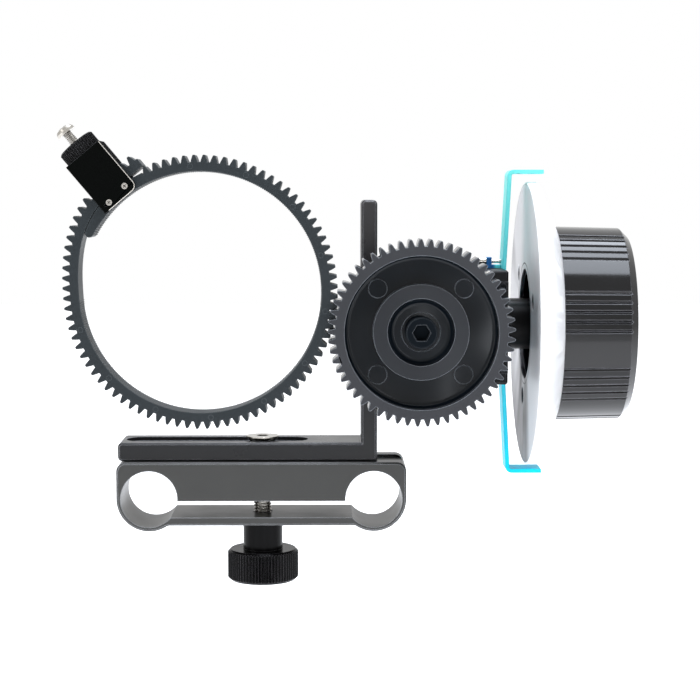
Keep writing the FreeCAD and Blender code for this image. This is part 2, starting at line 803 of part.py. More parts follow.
def on_wheel_axis(shape):
    """Turn a piece made along +Z on to the handwheel's axis, its +X to the drive gear's side."""
    moved = shape.copy()
    moved.rotate(Vector(0, 0, 0), Vector(0, 0, 1), -90)
    moved.rotate(Vector(0, 0, 0), Vector(0, 1, 0), 90)
    moved.translate(Vector(gear_axis_x, 0, axis_height))
    return moved


def on_drive_axis(shape):
    """Turn a piece made along +Z on to the drive gear's axis, its +X to the handwheel's side."""
    return facing(shape, gear_axis_x, 0, axis_height)


def wheel_mitre_gear():
    return on_wheel_axis(mitre_gear(0.0))


def wheel_set_screw():
    return on_wheel_axis(mitre_set_screw())


def drive_mitre_gear():
    """Its teeth are half a tooth out of step, so that a gap meets the other gear's tooth."""
    return on_drive_axis(mitre_gear(180.0 / mitre_teeth))


def drive_set_screw():
    return on_drive_axis(mitre_set_screw())


def wheel_shaft():
    profile = stepped_shaft(shaft_end - gear_axis_x)
    body = turned(profile, Vector(gear_axis_x, 0, axis_height), wheel_axis)
    tapped = bar(Vector(shaft_end - hub_thread, 0, axis_height), wheel_axis,
                 hub_screw_diameter / 2, hub_thread + 1)
    return body.cut(tapped)


def stepped_shaft(end):
    """Outline of a shaft with a thinner seat for its bevel gear, by distance from the apex."""
    seat = mitre_bore_diameter / 2
    start = mitre_radius * mitre_shrink + small_chamfer
    return [(0, start), (seat - small_chamfer, start), (seat, start + small_chamfer),
            (seat, mitre_back), (shaft_radius, mitre_back), (shaft_radius, end), (0, end)]


def wheel_thrust_washer():
    start = Vector(gear_axis_x + mitre_back + slide_gap, 0, axis_height)
    return tube(start, wheel_axis, shaft_radius + running_gap, sleeve_radius, thrust_thickness)


def drive_spacer():
    """The long collar on the drive shaft between the bevel gear and the front bush."""
    start = Vector(gear_axis_x, cover_inner + slide_gap, axis_height)
    gap = -mitre_back - slide_gap - (cover_inner + slide_gap)
    return tube(start, Vector(0, 1, 0), shaft_radius + running_gap, shaft_radius + spacer_wall, gap)


def back_plate():
    hole = disc_hole_diameter / 2
    edge = disc_radius - back_plate_lip
    thick = back_plate_thickness
    chamfer = min(disc_hole_chamfer, 0.75 * thick)
    profile = [(hole, 0), (edge, 0), (edge, thick), (hole + chamfer, thick),
               (hole, thick - chamfer)]
    body = turned(profile, Vector(disc_back, 0, axis_height), wheel_axis)
    return body.cut([aimed_at_circle(disc_screw_hole(), k) for k in range(disc_screw_count)])


def disc_screw_cone():
    """Height of the countersink under a disc screw's head."""
    return min((disc_screw_head - disc_screw_diameter) / 2, back_plate_thickness)


def disc_screw_hole():
    head = disc_screw_head / 2
    thick = back_plate_thickness
    cone = disc_screw_cone()
    radius = disc_screw_diameter / 2
    return turned([(0, -1), (head, -1), (head, 0), (head - cone, cone), (radius, cone),
                   (radius, thick + 1), (0, thick + 1)], Vector(0, 0, 0), Vector(0, 0, 1))


def aimed_at_circle(shape, index):
    """Place a shape made along +Z on the circle of the disc's screws, pointing along +X."""
    angle = math.radians(disc_screw_turn + index * 360.0 / disc_screw_count)
    place = Vector(disc_back, disc_screw_circle * math.cos(angle),
                   axis_height + disc_screw_circle * math.sin(angle))
    return aimed(shape, place, wheel_axis)


def disc_screws():
    head = disc_screw_head / 2
    radius = disc_screw_diameter / 2
    cone = disc_screw_cone()
    sunk = disc_screw_sink
    profile = [(0, sunk), (head - sunk, sunk), (head - cone, cone), (radius, cone),
               (radius, disc_screw_length), (0, disc_screw_length)]
    screw = turned(profile, Vector(0, 0, 0), Vector(0, 0, 1))
    return [aimed_at_circle(screw, k) for k in range(disc_screw_count)]


def marking_disc():
    plate_edge = disc_radius - back_plate_lip
    height = knob_left - disc_back
    seat = back_plate_thickness
    wall = disc_wall
    bore = stem_outer_radius + running_gap
    ease = back_plate_lip / 2
    profile = [(plate_edge, 0), (disc_radius - ease, 0), (disc_radius, ease), (disc_radius, disc_rim),
               (knob_radius, height), (bore, height), (bore, height - wall),
               (knob_radius - wall / 2, height - wall), (disc_radius - 2 * wall, disc_rim - ease),
               (disc_radius - 2 * wall, seat), (plate_edge, seat)]
    return turned(profile, Vector(disc_back, 0, axis_height), wheel_axis)


def knob_groove(angle, length):
    """A V groove along the knob's side, with its centre at this angle."""
    depth = groove_depth
    half = math.radians(groove_pitch) / 2 * knob_radius * groove_share
    outer = knob_radius + 0.5
    grow = half * (depth + 0.5) / depth
    points = [Vector(knob_radius - depth - knob_taper / 2, 0, -1), Vector(outer, grow, -1),
              Vector(outer, -grow, -1)]
    groove = face_of(points).extrude(Vector(0, 0, length + 2))
    groove.rotate(Vector(0, 0, 0), Vector(0, 0, 1), angle)
    return groove


def hand_knob():
    length = knob_length
    stem = knob_left - stem_left
    outer = knob_radius
    end = outer - knob_taper
    inner = outer - knob_wall
    hub = shaft_radius + knob_hub_wall
    deep = length - knob_floor
    shelf = knob_shelf
    bore = disc_hole_diameter / 2 + knob_bore_step
    profile = [(bore, -stem), (stem_outer_radius, -stem), (stem_outer_radius, 0), (outer, 0),
               (end, length - knob_chamfer), (end - knob_chamfer, length), (0, length),
               (0, deep + knob_seat_depth), (shaft_radius, deep + knob_seat_depth),
               (shaft_radius, deep - knob_hub_length), (hub, deep - knob_hub_length), (hub, deep),
               (inner, deep), (inner, shelf), (bore, shelf)]
    body = turned(profile, Vector(0, 0, 0), Vector(0, 0, 1))
    grooves = []
    first = -(grooves_per_group - 1) / 2 * groove_pitch
    for group in range(groove_groups):
        for k in range(grooves_per_group):
            angle = -90 - groove_turn - group * 360.0 / groove_groups + first + k * groove_pitch
            grooves.append(knob_groove(angle, length))
    body = body.cut(grooves)
    floor = length - knob_dish_depth
    dish = turned([(0, floor), (knob_dish_radius, floor), (knob_dish_radius + 1.0, length + 1),
                   (0, length + 1)], Vector(0, 0, 0), Vector(0, 0, 1))
    hole = bar(Vector(0, 0, deep), Vector(0, 0, 1), hub_screw_diameter / 2 + screw_gap, length)
    body = body.cut([dish, hole])
    body = aimed(body, Vector(knob_left, 0, axis_height), wheel_axis)
    holes = []
    for k in range(disc_screw_count):
        drill = bar(Vector(0, 0, 0), Vector(0, 0, 1), disc_screw_diameter / 2, disc_screw_length)
        holes.append(aimed_at_circle(drill, k))
    return body.cut(holes)


def hub_screw():
    start = Vector(knob_right - knob_dish_depth, 0, axis_height)
    radius = hub_screw_diameter / 2
    head = hub_screw_head / 2
    tall = hub_screw_head_height
    ease = small_chamfer
    reach = knob_right - knob_dish_depth - shaft_end + hub_thread
    body = turned([(0, -reach), (radius, -reach), (radius, 0), (head, 0), (head, tall - ease),
                   (head - ease, tall), (0, tall)], start, wheel_axis)
    deep = hub_screw_socket_depth
    socket = aimed(hexagon(hub_screw_socket, deep + 1), start + Vector(tall - deep, 0, 0), wheel_axis)
    return body.cut(socket)


def ring_point(angle, radius):
    turn = math.radians(angle)
    return Vector(radius * math.cos(turn), radius * math.sin(turn), 0)


def lap_rise(angle):
    """How far the outer layer has risen at this angle, from the true circle to the full lap."""
    share = (lap_start - angle) / (lap_start - lap_end)
    share = max(0.0, min(1.0, share))
    return lap_height * share * share * (3 - 2 * share)


def tooth_points(flank):
    """A tooth's points in order, from the root of its left flank over the tip to the right."""
    left = [(-side, out) for side, out in flank]
    return left + list(reversed(flank))


def tooth_edges(points):
    """Edges of one tooth: a curved flank, the tip and a curved flank."""
    up = Part.Arc(points[0], points[1], points[2]).toShape()
    tip = Part.makeLine(points[2], points[3])
    down = Part.Arc(points[3], points[4], points[5]).toShape()
    return [up, tip, down]


def toothed_outline(teeth, turn):
    """Closed edges of a whole gear's outline, one tooth centred at the angle turn."""
    pitch = gear_module * teeth / 2
    flank = tooth_points(tooth_flank(teeth))
    edges = []
    first = None
    last = None
    for k in range(teeth):
        angle = math.radians(turn - k * 360.0 / teeth)
        across = Vector(math.sin(angle), -math.cos(angle), 0)
        outward = Vector(math.cos(angle), math.sin(angle), 0)
        points = [outward * (pitch + out) + across * side for side, out in flank]
        if last is None:
            first = points[0]
        else:
            edges.append(Part.makeLine(last, points[0]))
        edges.extend(tooth_edges(points))
        last = points[5]
    edges.append(Part.makeLine(last, first))
    return edges


def drive_gear():
    """Spur gear with a recessed web, four round pads, a hub ring and a well for its screw."""
    edges = toothed_outline(drive_teeth, mesh_angle + 180 + 180.0 / drive_teeth)
    blank = Part.Face(Part.Wire(edges)).extrude(Vector(0, 0, drive_width))
    up = Vector(0, 0, 1)
    top = drive_width
    web_top = top - gear_web_recess
    web = tube(Vector(0, 0, web_top), up, hub_ring_radius, gear_rim_radius, gear_web_recess + 1)
    web = ease_bottom(web, web_top, gear_rim_radius, gear_web_fillet)
    hub = bar(Vector(0, 0, top - hub_ring_recess), up, hub_ring_radius, hub_ring_recess + 1)
    bowl = bar(Vector(0, 0, top - hub_bowl_recess), up, hub_bowl_radius, hub_bowl_recess + 1)
    bowl = ease_bottom(bowl, top - hub_bowl_recess, hub_bowl_radius, hub_bowl_fillet)
    well = bar(Vector(0, 0, top - hub_well_recess), up, hub_well_radius, hub_well_recess + 1)
    back = tube(Vector(0, 0, -1), up, hub_ring_radius, gear_rim_radius, gear_back_recess + 1)
    bore = bar(Vector(0, 0, -1), up, shaft_radius, gear_shaft_depth() + 1)
    screw = bar(Vector(0, 0, 0), up, gear_screw_diameter / 2, drive_width)
    body = blank.cut([web, hub, bowl, well, back, bore, screw])
    pads = []
    for k in range(4):
        centre = ring_point(45 + 90 * k, web_pad_circle)
        centre.z = web_top - 0.2
        pads.append(bar(centre, up, web_pad_radius, web_pad_height + 0.2))
    body = body.fuse(pads)
    return facing(body, gear_axis_x, drive_back, axis_height)


def ease_bottom(shape, height, radius, fillet):
    """Round the outer edge at the bottom of a round recess's shape."""
    edges = [edge for edge in shape.Edges if edge.BoundBox.ZLength < 0.001
             and abs(edge.BoundBox.ZMin - height) < 0.001
             and abs(edge.BoundBox.XLength - 2 * radius) < 0.001]
    return shape.makeFillet(fillet, edges)


def gear_shaft_depth():
    """How far the drive shaft reaches into the gear from its back."""
    return drive_width - hub_well_recess - well_floor


def drive_shaft():
    end = -drive_back + gear_shaft_depth()
    body = turned(stepped_shaft(end), Vector(gear_axis_x, 0, axis_height), gear_axis)
    tapped = bar(Vector(gear_axis_x, hub_thread - end, axis_height), gear_axis,
                 gear_screw_diameter / 2, hub_thread + 1)
    return body.cut(tapped)


def drive_collar():
    """The collar on the shaft between the gearbox boss and the drive gear."""
    gap = -drive_back + boss_front - slide_gap
    return tube(Vector(gear_axis_x, drive_back, axis_height), Vector(0, 1, 0),
                shaft_radius, shaft_radius + spacer_wall, gap)


def gear_screw():
    floor = drive_front + hub_well_recess
    radius = gear_screw_diameter / 2
    head = gear_screw_head / 2
    tall = gear_screw_head_height
    reach = well_floor + hub_thread
    ease = small_chamfer / 2
    profile = [(0, -reach), (radius, -reach), (radius, 0), (head, 0), (head, tall - ease),
               (head - ease, tall), (0, tall)]
    body = turned(profile, Vector(gear_axis_x, floor, axis_height), gear_axis)
    deep = gear_screw_socket_depth
    bottom = Vector(gear_axis_x, floor - tall + deep, axis_height)
    socket = aimed(hexagon(gear_screw_socket, deep + 1), bottom, gear_axis)
    return body.cut(socket)


def band_tooth(angle, rise):
    """Points of one band tooth at this angle, lifted by the rise of the lap."""
    turn = math.radians(angle)
    across = Vector(math.sin(turn), -math.cos(turn), 0)
    outward = Vector(math.cos(turn), math.sin(turn), 0)
    flank = tooth_points(tooth_flank(ring_teeth))
    return [outward * (ring_radius + rise + out) + across * side for side, out in flank]


def band_teeth():
    """All band teeth in order from beside the block, clockwise round to the tail's end."""
    pitch_angle = 360.0 / ring_teeth
    angle = mesh_angle + pitch_angle * math.floor((smooth_end - mesh_angle) / pitch_angle)
    teeth = []
    while angle > block_angle - 360:
        seen = angle + 360
        rise = lap_rise(seen)
        teeth.append(band_tooth(angle, rise))
        angle -= math.degrees(math.pi * gear_module / (ring_radius + rise))
    top_radius = ring_radius + lap_height
    overrun = math.radians(block_angle - 360 - angle) * top_radius
    place = overrun
    tooth_half = math.pi * gear_module / 2
    while place < tail_length - tooth_half:
        straight = band_tooth(block_angle, lap_height)
        teeth.append([point + clockwise() * place for point in straight])
        place += math.pi * gear_module
    return teeth


def clockwise():
    """The direction of the tail: square to the block's axis, to the right."""
    turn = math.radians(block_angle)
    return Vector(math.sin(turn), -math.cos(turn), 0)


def lap_curve(offset):
    """The smooth curve that leads the band from its true circle up on to its own tongue."""
    count = 9
    points = []
    for k in range(count):
        angle = lap_start - (lap_start - lap_end) * k / (count - 1)
        points.append(ring_point(angle, ring_inner + lap_rise(angle) + offset))
    curve = Part.BSplineCurve()
    curve.interpolate(points)
    return curve.toShape(), points


def arc(angle_a, angle_b, radius):
    """An arc about the ring's centre, from one angle to the other."""
    middle = (angle_a + angle_b) / 2
    return Part.Arc(ring_point(angle_a, radius), ring_point(middle, radius),
                    ring_point(angle_b, radius)).toShape()


def tongue_outer(angle):
    return ring_inner + lap_rise(angle) - lap_gap


def gear_band():
    """The toothed band: it runs round the lens, over its own tongue and out as a short tail."""
    edges = [arc(tongue_end, lap_start - 360, ring_inner)]
    curve, points = lap_curve(0.0)
    edges.append(curve)
    lifted = ring_inner + lap_height
    edges.append(arc(lap_end, block_angle, lifted))
    corner = ring_point(block_angle, lifted)
    tail_low = corner + clockwise() * tail_length
    edges.append(Part.makeLine(corner, tail_low))
    outward = ring_point(block_angle, 1.0)
    root = ring_radius - dedendum - ring_inner
    tail_root = tail_low + outward * root
    edges.append(Part.makeLine(tail_low, tail_root))
    last = tail_root
    for tooth in reversed(band_teeth()):
        backwards = list(reversed(tooth))
        edges.append(Part.makeLine(last, backwards[0]))
        edges.extend(tooth_edges(backwards))
        last = backwards[5]
    smooth = tongue_outer(lap_end)
    step = ring_point(smooth_end, smooth)
    edges.append(Part.makeLine(last, step))
    edges.append(arc(smooth_end, lap_end, smooth))
    taper = [ring_point(a, tongue_outer(a)) for a in tongue_taper_angles()]
    curve = Part.BSplineCurve()
    curve.interpolate(taper)
    edges.append(curve.toShape())
    low = ring_point(tongue_end, ring_inner)
    middle_radius = (ring_inner + tongue_outer(tongue_end)) / 2
    half = tongue_outer(tongue_end) - middle_radius
    bulge = ring_point(tongue_end + math.degrees(half / middle_radius), middle_radius)
    edges.append(Part.Arc(taper[-1], bulge, low).toShape())
    face = Part.Face(Part.Wire(Part.__sortEdges__(edges)))
    body = face.extrude(Vector(0, 0, ring_width))
    body = facing(body, ring_x, ring_back, ring_z)
    holes = [bar(block_place(across, height, ring_front - 1), Vector(0, 1, 0),
                 block_screw_diameter / 2, ring_width + 2)
             for across, height in block_screw_places()]
    return body.cut(holes)


def tongue_taper_angles():
    count = 4
    return [lap_end + (tongue_end - lap_end) * k / count for k in range(count + 1)]


def block_place(across, height, y):
    """A point in the block's own directions: to the right, outward, and a depth."""
    flat = clockwise() * across + ring_point(block_angle, height)
    return Vector(ring_x + flat.x, y, ring_z + flat.y)


def block_screw_places():
    """Where the cover's screws are in the block's own directions: to the right and outward."""
    return [(block_screw_left, ring_inner + block_screw_inset_left),
            (block_screw_right, ring_inner + block_screw_inset_right)]


def block_box(left, right, low, high, front, back):
    """A box in the block's own directions."""
    turn = block_angle - 90
    body = Part.makeBox(right - left, high - low, back - front, Vector(left, low, 0))
    body.rotate(Vector(0, 0, 0), Vector(0, 0, 1), turn)
    return facing(body, ring_x, back, ring_z)


def block_axis():
    turn = math.radians(block_angle)
    return Vector(math.cos(turn), 0, math.sin(turn))


def ring_block():
    """The block's body: a roof over the band with the screw's thread, and its back wall."""
    roof = block_box(block_left, block_right, block_roof, block_top,
                     block_front + block_wall, block_back)
    back = block_box(block_left, block_right, block_bottom, block_roof,
                     ring_back + block_side_gap, block_back)
    body = roof.fuse(back).removeSplitter()
    bore = bar(block_place(0, block_roof - 1, block_middle), block_axis(),
               ring_screw_diameter / 2 + running_gap, block_top)
    pocket = bar(block_place(0, block_roof - 1, block_middle), block_axis(),
                 foot_diameter / 2 + screw_gap, foot_place() + foot_thickness + foot_travel -
                 block_roof + 1)
    cuts = [bore, pocket]
    for across, height in block_screw_places():
        cuts.append(bar(block_place(across, height, ring_front), Vector(0, 1, 0),
                        block_screw_diameter / 2, ring_width + 2))
    return body.cut(cuts)


def foot_place():
    """How far the foot's underside lies from the ring's centre: just over the tail's teeth."""
    return ring_radius + lap_height + addendum + foot_gap


def ring_cover():
    """The block's cover plate on the viewer's side, with one rounded corner."""
    plate = block_box(block_left, cover_right, block_bottom, block_top, block_front,
                      block_front + block_wall)
    corner = block_place(cover_right, block_bottom, block_front)

    def low_right(edge):
        middle = edge.CenterOfMass
        gap = Vector(middle.x - corner.x, 0, middle.z - corner.z)
        return gap.Length < 0.01

    plate = plate.makeFillet(block_corner, [edge for edge in plate.Edges if low_right(edge)])
    cuts = []
    for across, height in block_screw_places():
        place = block_place(across, height, block_front - 1)
        cuts.append(bar(place, Vector(0, 1, 0), block_screw_head / 2, block_screw_head_height + 1))
        cuts.append(bar(place, Vector(0, 1, 0), block_screw_diameter / 2, block_wall + 2))
    return plate.cut(cuts)


def ring_cover_screws():
    screws = []
    head = block_screw_head / 2
    shank = block_screw_diameter / 2
    top = -block_screw_proud
    seat = block_screw_head_height
    reach = block_back - block_front - block_wall / 2
    profile = [(0, top), (head, top), (head, seat), (shank, seat), (shank, reach), (0, reach)]
    for across, height in block_screw_places():
        place = block_place(across, height, block_front)
        screws.append(turned(profile, place, Vector(0, 1, 0)))
    return screws


def ring_foot():
    """The small pad that the screw presses on the band's tail."""
    start = block_place(0, foot_place(), block_middle)
    return bar(start, block_axis(), foot_diameter / 2, foot_thickness)


def ring_screw():
    radius = ring_screw_diameter / 2
    head = ring_screw_head / 2
    low = foot_place() + foot_thickness
    neck = block_top + slide_gap + ring_nut_length + ring_screw_free
    tall = ring_screw_head_height
    profile = [(0, low), (radius, low), (radius, neck), (head, neck), (head, neck + 0.4 * tall),
               (head * 0.8, neck + 0.8 * tall), (head * 0.4, neck + tall), (0, neck + tall)]
    return turned(profile, block_place(0, 0, block_middle), block_axis())


def ring_nut():
    knob = ring_nut_diameter / 2
    ribs = ribbed(knob, ring_nut_rib_depth, ring_nut_ribs, ring_nut_length)
    chamfer = ring_nut_chamfer
    envelope = turned([(0, 0), (knob - chamfer, 0), (knob, chamfer),
                       (knob, ring_nut_length - chamfer), (knob - chamfer, ring_nut_length),
                       (0, ring_nut_length)], Vector(0, 0, 0), Vector(0, 0, 1))
    body = ribs.common(envelope)
    hole = bar(Vector(0, 0, -1), Vector(0, 0, 1), ring_screw_diameter / 2 + running_gap,
               ring_nut_length + 2)
    body = body.cut(hole)
    return aimed(body, block_place(0, block_top + slide_gap, block_middle), block_axis())


nodes = {
    "clamp_block": clamp_block,
    "clamp_screw": clamp_screw,
    "nut_washer": nut_washer,
    "thumb_nut": thumb_nut,
    "angle_bracket": bracket,
    "gearbox_housing": gearbox_housing,
    "gearbox_cover": gearbox_cover,
    "gearbox_cover_screws": cover_screws,
    "lock_washer": lock_washer,
    "lock_screw": lock_screw,
    "wheel_sleeve": wheel_sleeve,
    "wheel_sleeve_bushes": sleeve_bushes,
    "gearbox_cover_bush": cover_bush,
    "index_plate": index_plate,
    "index_plate_screws": index_screws,
    "index_ear_screw": ear_screw,
    "wheel_mitre_gear": wheel_mitre_gear,
    "wheel_set_screw": wheel_set_screw,
    "wheel_shaft": wheel_shaft,
    "wheel_thrust_washer": wheel_thrust_washer,
    "disc_back_plate": back_plate,
    "disc_screws": disc_screws,
    "marking_disc": marking_disc,
    "hand_knob": hand_knob,
    "hand_knob_screw": hub_screw,
    "drive_mitre_gear": drive_mitre_gear,
    "drive_set_screw": drive_set_screw,
    "drive_shaft": drive_shaft,
    "drive_shaft_spacer": drive_spacer,
    "drive_gear": drive_gear,
    "drive_gear_collar": drive_collar,
    "drive_gear_screw": gear_screw,
    "lens_gear_band": gear_band,
    "ring_block": ring_block,
    "ring_block_cover": ring_cover,
    "ring_cover_screws": ring_cover_screws,
    "ring_pressure_foot": ring_foot,
    "ring_screw": ring_screw,
    "ring_lock_nut": ring_nut,
}

os.makedirs("parts", exist_ok=True)
for name, make in nodes.items():
    made = make()
    shape = Part.makeCompound(made) if isinstance(made, list) else made
    shape.exportStep("parts/" + name + ".step")
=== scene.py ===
import json
import math

import bmesh
import bpy
from mathutils import Matrix, Vector


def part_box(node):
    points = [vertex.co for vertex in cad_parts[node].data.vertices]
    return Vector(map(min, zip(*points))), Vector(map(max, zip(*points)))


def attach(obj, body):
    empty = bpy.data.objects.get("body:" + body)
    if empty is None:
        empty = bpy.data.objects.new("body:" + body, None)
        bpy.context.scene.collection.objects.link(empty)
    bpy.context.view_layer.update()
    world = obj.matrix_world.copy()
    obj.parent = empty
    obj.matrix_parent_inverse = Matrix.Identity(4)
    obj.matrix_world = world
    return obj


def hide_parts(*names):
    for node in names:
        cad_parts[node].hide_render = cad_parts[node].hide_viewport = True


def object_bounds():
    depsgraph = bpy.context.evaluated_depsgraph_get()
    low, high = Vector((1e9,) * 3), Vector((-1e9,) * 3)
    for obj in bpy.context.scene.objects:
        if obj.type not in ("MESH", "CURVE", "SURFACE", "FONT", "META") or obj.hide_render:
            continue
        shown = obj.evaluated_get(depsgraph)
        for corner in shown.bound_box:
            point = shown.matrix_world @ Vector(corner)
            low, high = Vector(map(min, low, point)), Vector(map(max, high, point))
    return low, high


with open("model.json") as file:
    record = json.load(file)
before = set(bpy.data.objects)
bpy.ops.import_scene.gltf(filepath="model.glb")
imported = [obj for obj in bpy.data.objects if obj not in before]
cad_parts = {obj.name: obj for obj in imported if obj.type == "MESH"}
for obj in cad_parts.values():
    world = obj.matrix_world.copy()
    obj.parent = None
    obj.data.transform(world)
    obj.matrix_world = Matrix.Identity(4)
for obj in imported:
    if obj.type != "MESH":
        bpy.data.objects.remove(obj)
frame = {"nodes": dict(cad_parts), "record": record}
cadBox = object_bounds()
nodes = frame["nodes"]
behaviour = frame["record"]["behaviour"]
bodyOf = {node: body for body, members in behaviour["bodies"].items() for node in members}
slotOf = {entry["node"]: entry["material_slot"] for entry in frame["record"]["subparts"]}
mm = 0.001
print("frame loaded:", len(nodes), "nodes")


def feed(tree, socket, value):
    # a link where the value is another node's output, and otherwise a fixed value
    if isinstance(value, bpy.types.NodeSocket):
        tree.links.new(value, socket)
    else:
        socket.default_value = value


def addNode(tree, kind, inputs=None, **settings):
    node = tree.nodes.new(kind)
    for key, value in settings.items():
        setattr(node, key, value)
    for key, value in (inputs or {}).items():
        feed(tree, node.inputs[key], value)
    return node


def calc(tree, operation, *values):
    return addNode(tree, "ShaderNodeMath", dict(enumerate(values)), operation=operation).outputs[0]


def dot(tree, one, other):
    return addNode(tree, "ShaderNodeVectorMath", {0: one, 1: other},
                   operation="DOT_PRODUCT").outputs["Value"]


def noise(tree, place, scale, detail=0.0, roughness=0.5):
    return addNode(tree, "ShaderNodeTexNoise", {"Vector": place, "Scale": scale, "Detail": detail,
                   "Roughness": roughness}).outputs["Fac"]


def combine(tree, x=0.0, y=0.0, z=0.0):
    return addNode(tree, "ShaderNodeCombineXYZ", {"X": x, "Y": y, "Z": z}).outputs["Vector"]


def ramp(tree, value, start, end, low=0.0, high=1.0):
    return addNode(tree, "ShaderNodeMapRange", {"Value": value, "From Min": start, "From Max": end,
                   "To Min": low, "To Max": high}).outputs["Result"]


def clamp(tree, value):
    return addNode(tree, "ShaderNodeClamp", {"Value": value}).outputs["Result"]


socketKinds = {float: "NodeSocketFloat", int: "NodeSocketInt", tuple: "NodeSocketVector",
               type(None): "NodeSocketObject"}
zero = (0.0, 0.0, 0.0)


def nameInputs(tree, inputs):
    # one named input for each entry, of the kind of its default value; None stands for an object
    for label, value in inputs.items():
        socket = tree.interface.new_socket(label, in_out="INPUT",
                                           socket_type=socketKinds[type(value)])
        if value is not None:
            socket.default_value = value


def groupTree(name, inputs, outputs):
    tree = bpy.data.node_groups.new(name, "ShaderNodeTree")
    nameInputs(tree, inputs)
    for label in outputs:
        tree.interface.new_socket(label, in_out="OUTPUT", socket_type="NodeSocketFloat")
    return tree, tree.nodes.new("NodeGroupInput").outputs


def makeFineGrain():
    # blasted or moulded grain: a fine bump, a slow drift of tone and a smooth wave
    tree, size = groupTree("fineGrain", {"Vector": zero, "Grain Size": 0.00012,
                           "Drift Size": 0.012}, ("Height", "Drift", "Wave"))
    grainScale = calc(tree, "DIVIDE", 1.0, size["Grain Size"])
    driftScale = calc(tree, "DIVIDE", 1.0, size["Drift Size"])
    addNode(tree, "NodeGroupOutput", {
        "Height": noise(tree, size["Vector"], grainScale, detail=3.0, roughness=0.6),
        "Drift": noise(tree, size["Vector"], driftScale, detail=4.0, roughness=0.55),
        "Wave": noise(tree, size["Vector"], driftScale)})
    return tree


def makeEdgeLightShade():
    # painted edge light: 1 along edges, 0 on open faces, patchy along its length; finishes paint a
    # bright highlight there, and the blue plate a darker painted edge shade
    tree, size = groupTree("edgeLightShadeMask", {"Vector": zero, "Radius": 0.0003, "Patch Size": 0.004,
                           "Gain": 20.0}, ("Mask",))
    rounded = addNode(tree, "ShaderNodeBevel", {"Radius": size["Radius"]}, samples=4)
    surface = tree.nodes.new("ShaderNodeNewGeometry")
    facing = dot(tree, rounded.outputs["Normal"], surface.outputs["Normal"])
    strong = calc(tree, "MULTIPLY", calc(tree, "SUBTRACT", 1.0, facing), size["Gain"])
    patches = noise(tree, size["Vector"], calc(tree, "DIVIDE", 1.0, size["Patch Size"]),
                    detail=3.0, roughness=0.6)
    uneven = ramp(tree, patches, start=0.35, end=0.65, low=0.6)
    addNode(tree, "NodeGroupOutput", {"Mask": clamp(tree, calc(tree, "MULTIPLY", strong, uneven))})
    return tree


def makeTurnedFaceSheen():
    # a face turned on a lathe round an axis along X: rings and one groove, with painted reflections
    # as bright and dark sweeps and painted shade towards one side
    tree, size = groupTree("turnedFaceSheen", {
        "Vector": zero, "Line Width": 0.0002, "Sweeps": 1.5, "Outward Change": 25.0,
        "Contrast": 0.6, "Lift": 0.2, "Dark Side": (0.0, 0.8, -0.6), "Dark Share": 0.2,
        "Groove Radius": 0.016, "Groove Width": 0.0002}, ("Height", "Sweep", "Groove"))
    parts = addNode(tree, "ShaderNodeSeparateXYZ", {"Vector": size["Vector"]}).outputs
    ySquare = calc(tree, "MULTIPLY", parts["Y"], parts["Y"])
    zSquare = calc(tree, "MULTIPLY", parts["Z"], parts["Z"])
    radius = calc(tree, "SQRT", calc(tree, "ADD", ySquare, zSquare))
    safe = calc(tree, "MAXIMUM", radius, 0.0001)
    lines = calc(tree, "DIVIDE", radius, size["Line Width"])
    rings = addNode(tree, "ShaderNodeTexNoise", {"W": lines, "Scale": 1.0, "Detail": 2.0},
                    noise_dimensions="1D")
    place = combine(
        tree, calc(tree, "MULTIPLY", calc(tree, "DIVIDE", parts["Y"], safe), size["Sweeps"]),
        calc(tree, "MULTIPLY", calc(tree, "DIVIDE", parts["Z"], safe), size["Sweeps"]),
        calc(tree, "MULTIPLY", radius, size["Outward Change"]))
    sweep = noise(tree, place, scale=1.0, detail=1.5)
    calm = calc(tree, "MULTIPLY_ADD", sweep, size["Contrast"], size["Lift"])
    # painted shade: darker towards the dark side
    side = calc(tree, "DIVIDE", dot(tree, size["Vector"], size["Dark Side"]), safe)
    shadeLobe = calc(tree, "POWER", calc(tree, "MAXIMUM", side, 0.0), 2.0)
    swept = calc(tree, "SUBTRACT", calm, calc(tree, "MULTIPLY", shadeLobe, size["Dark Share"]))
    off = calc(tree, "ABSOLUTE", calc(tree, "SUBTRACT", radius, size["Groove Radius"]))
    near = calc(tree, "SUBTRACT", 1.0, calc(tree, "DIVIDE", off, size["Groove Width"]))
    groove = clamp(tree, calc(tree, "MULTIPLY", near, 2.0))
    addNode(tree, "NodeGroupOutput", {"Height": rings.outputs["Fac"], "Sweep": swept,
            "Groove": groove})
    return tree


def makeAxisTone():
    # 0 to 1 along a direction, for a tone that drifts from one end of a piece to the other
    tree, size = groupTree("axisTone", {"Vector": zero, "Axis": (0.0, 0.0, 1.0), "From": 0.0,
                           "To": 0.1}, ("Mask",))
    along = dot(tree, size["Vector"], size["Axis"])
    addNode(tree, "NodeGroupOutput", {"Mask": ramp(tree, along, size["From"], size["To"])})
    return tree


def makeCreaseShade():
    # painted shade: 1 where a crease is deep, as in thread valleys, recesses and the roots of teeth,
    # found by ambient occlusion; finishes darken these places with a painted shade colour
    tree, size = groupTree("creaseShade", {"Reach": 0.0005, "Strength": 1.5}, ("Mask",))
    shade = addNode(tree, "ShaderNodeAmbientOcclusion", {"Distance": size["Reach"]},
                    samples=6, only_local=True)
    hollow = calc(tree, "SUBTRACT", 1.0, shade.outputs["AO"])
    addNode(tree, "NodeGroupOutput", {
        "Mask": clamp(tree, calc(tree, "MULTIPLY", hollow, size["Strength"]))})
    return tree


# the edge group paints highlights and edge shade, the crease group paints shade, and the turned
# group paints reflections and shade
groups = {"grain": makeFineGrain(), "edgeLightShade": makeEdgeLightShade(), "turned": makeTurnedFaceSheen(),
          "tone": makeAxisTone(), "creaseShade": makeCreaseShade()}
print("shader groups made")


def placeGroup(tree, group, inputs):
    return addNode(tree, "ShaderNodeGroup", inputs, node_tree=groups[group]).outputs


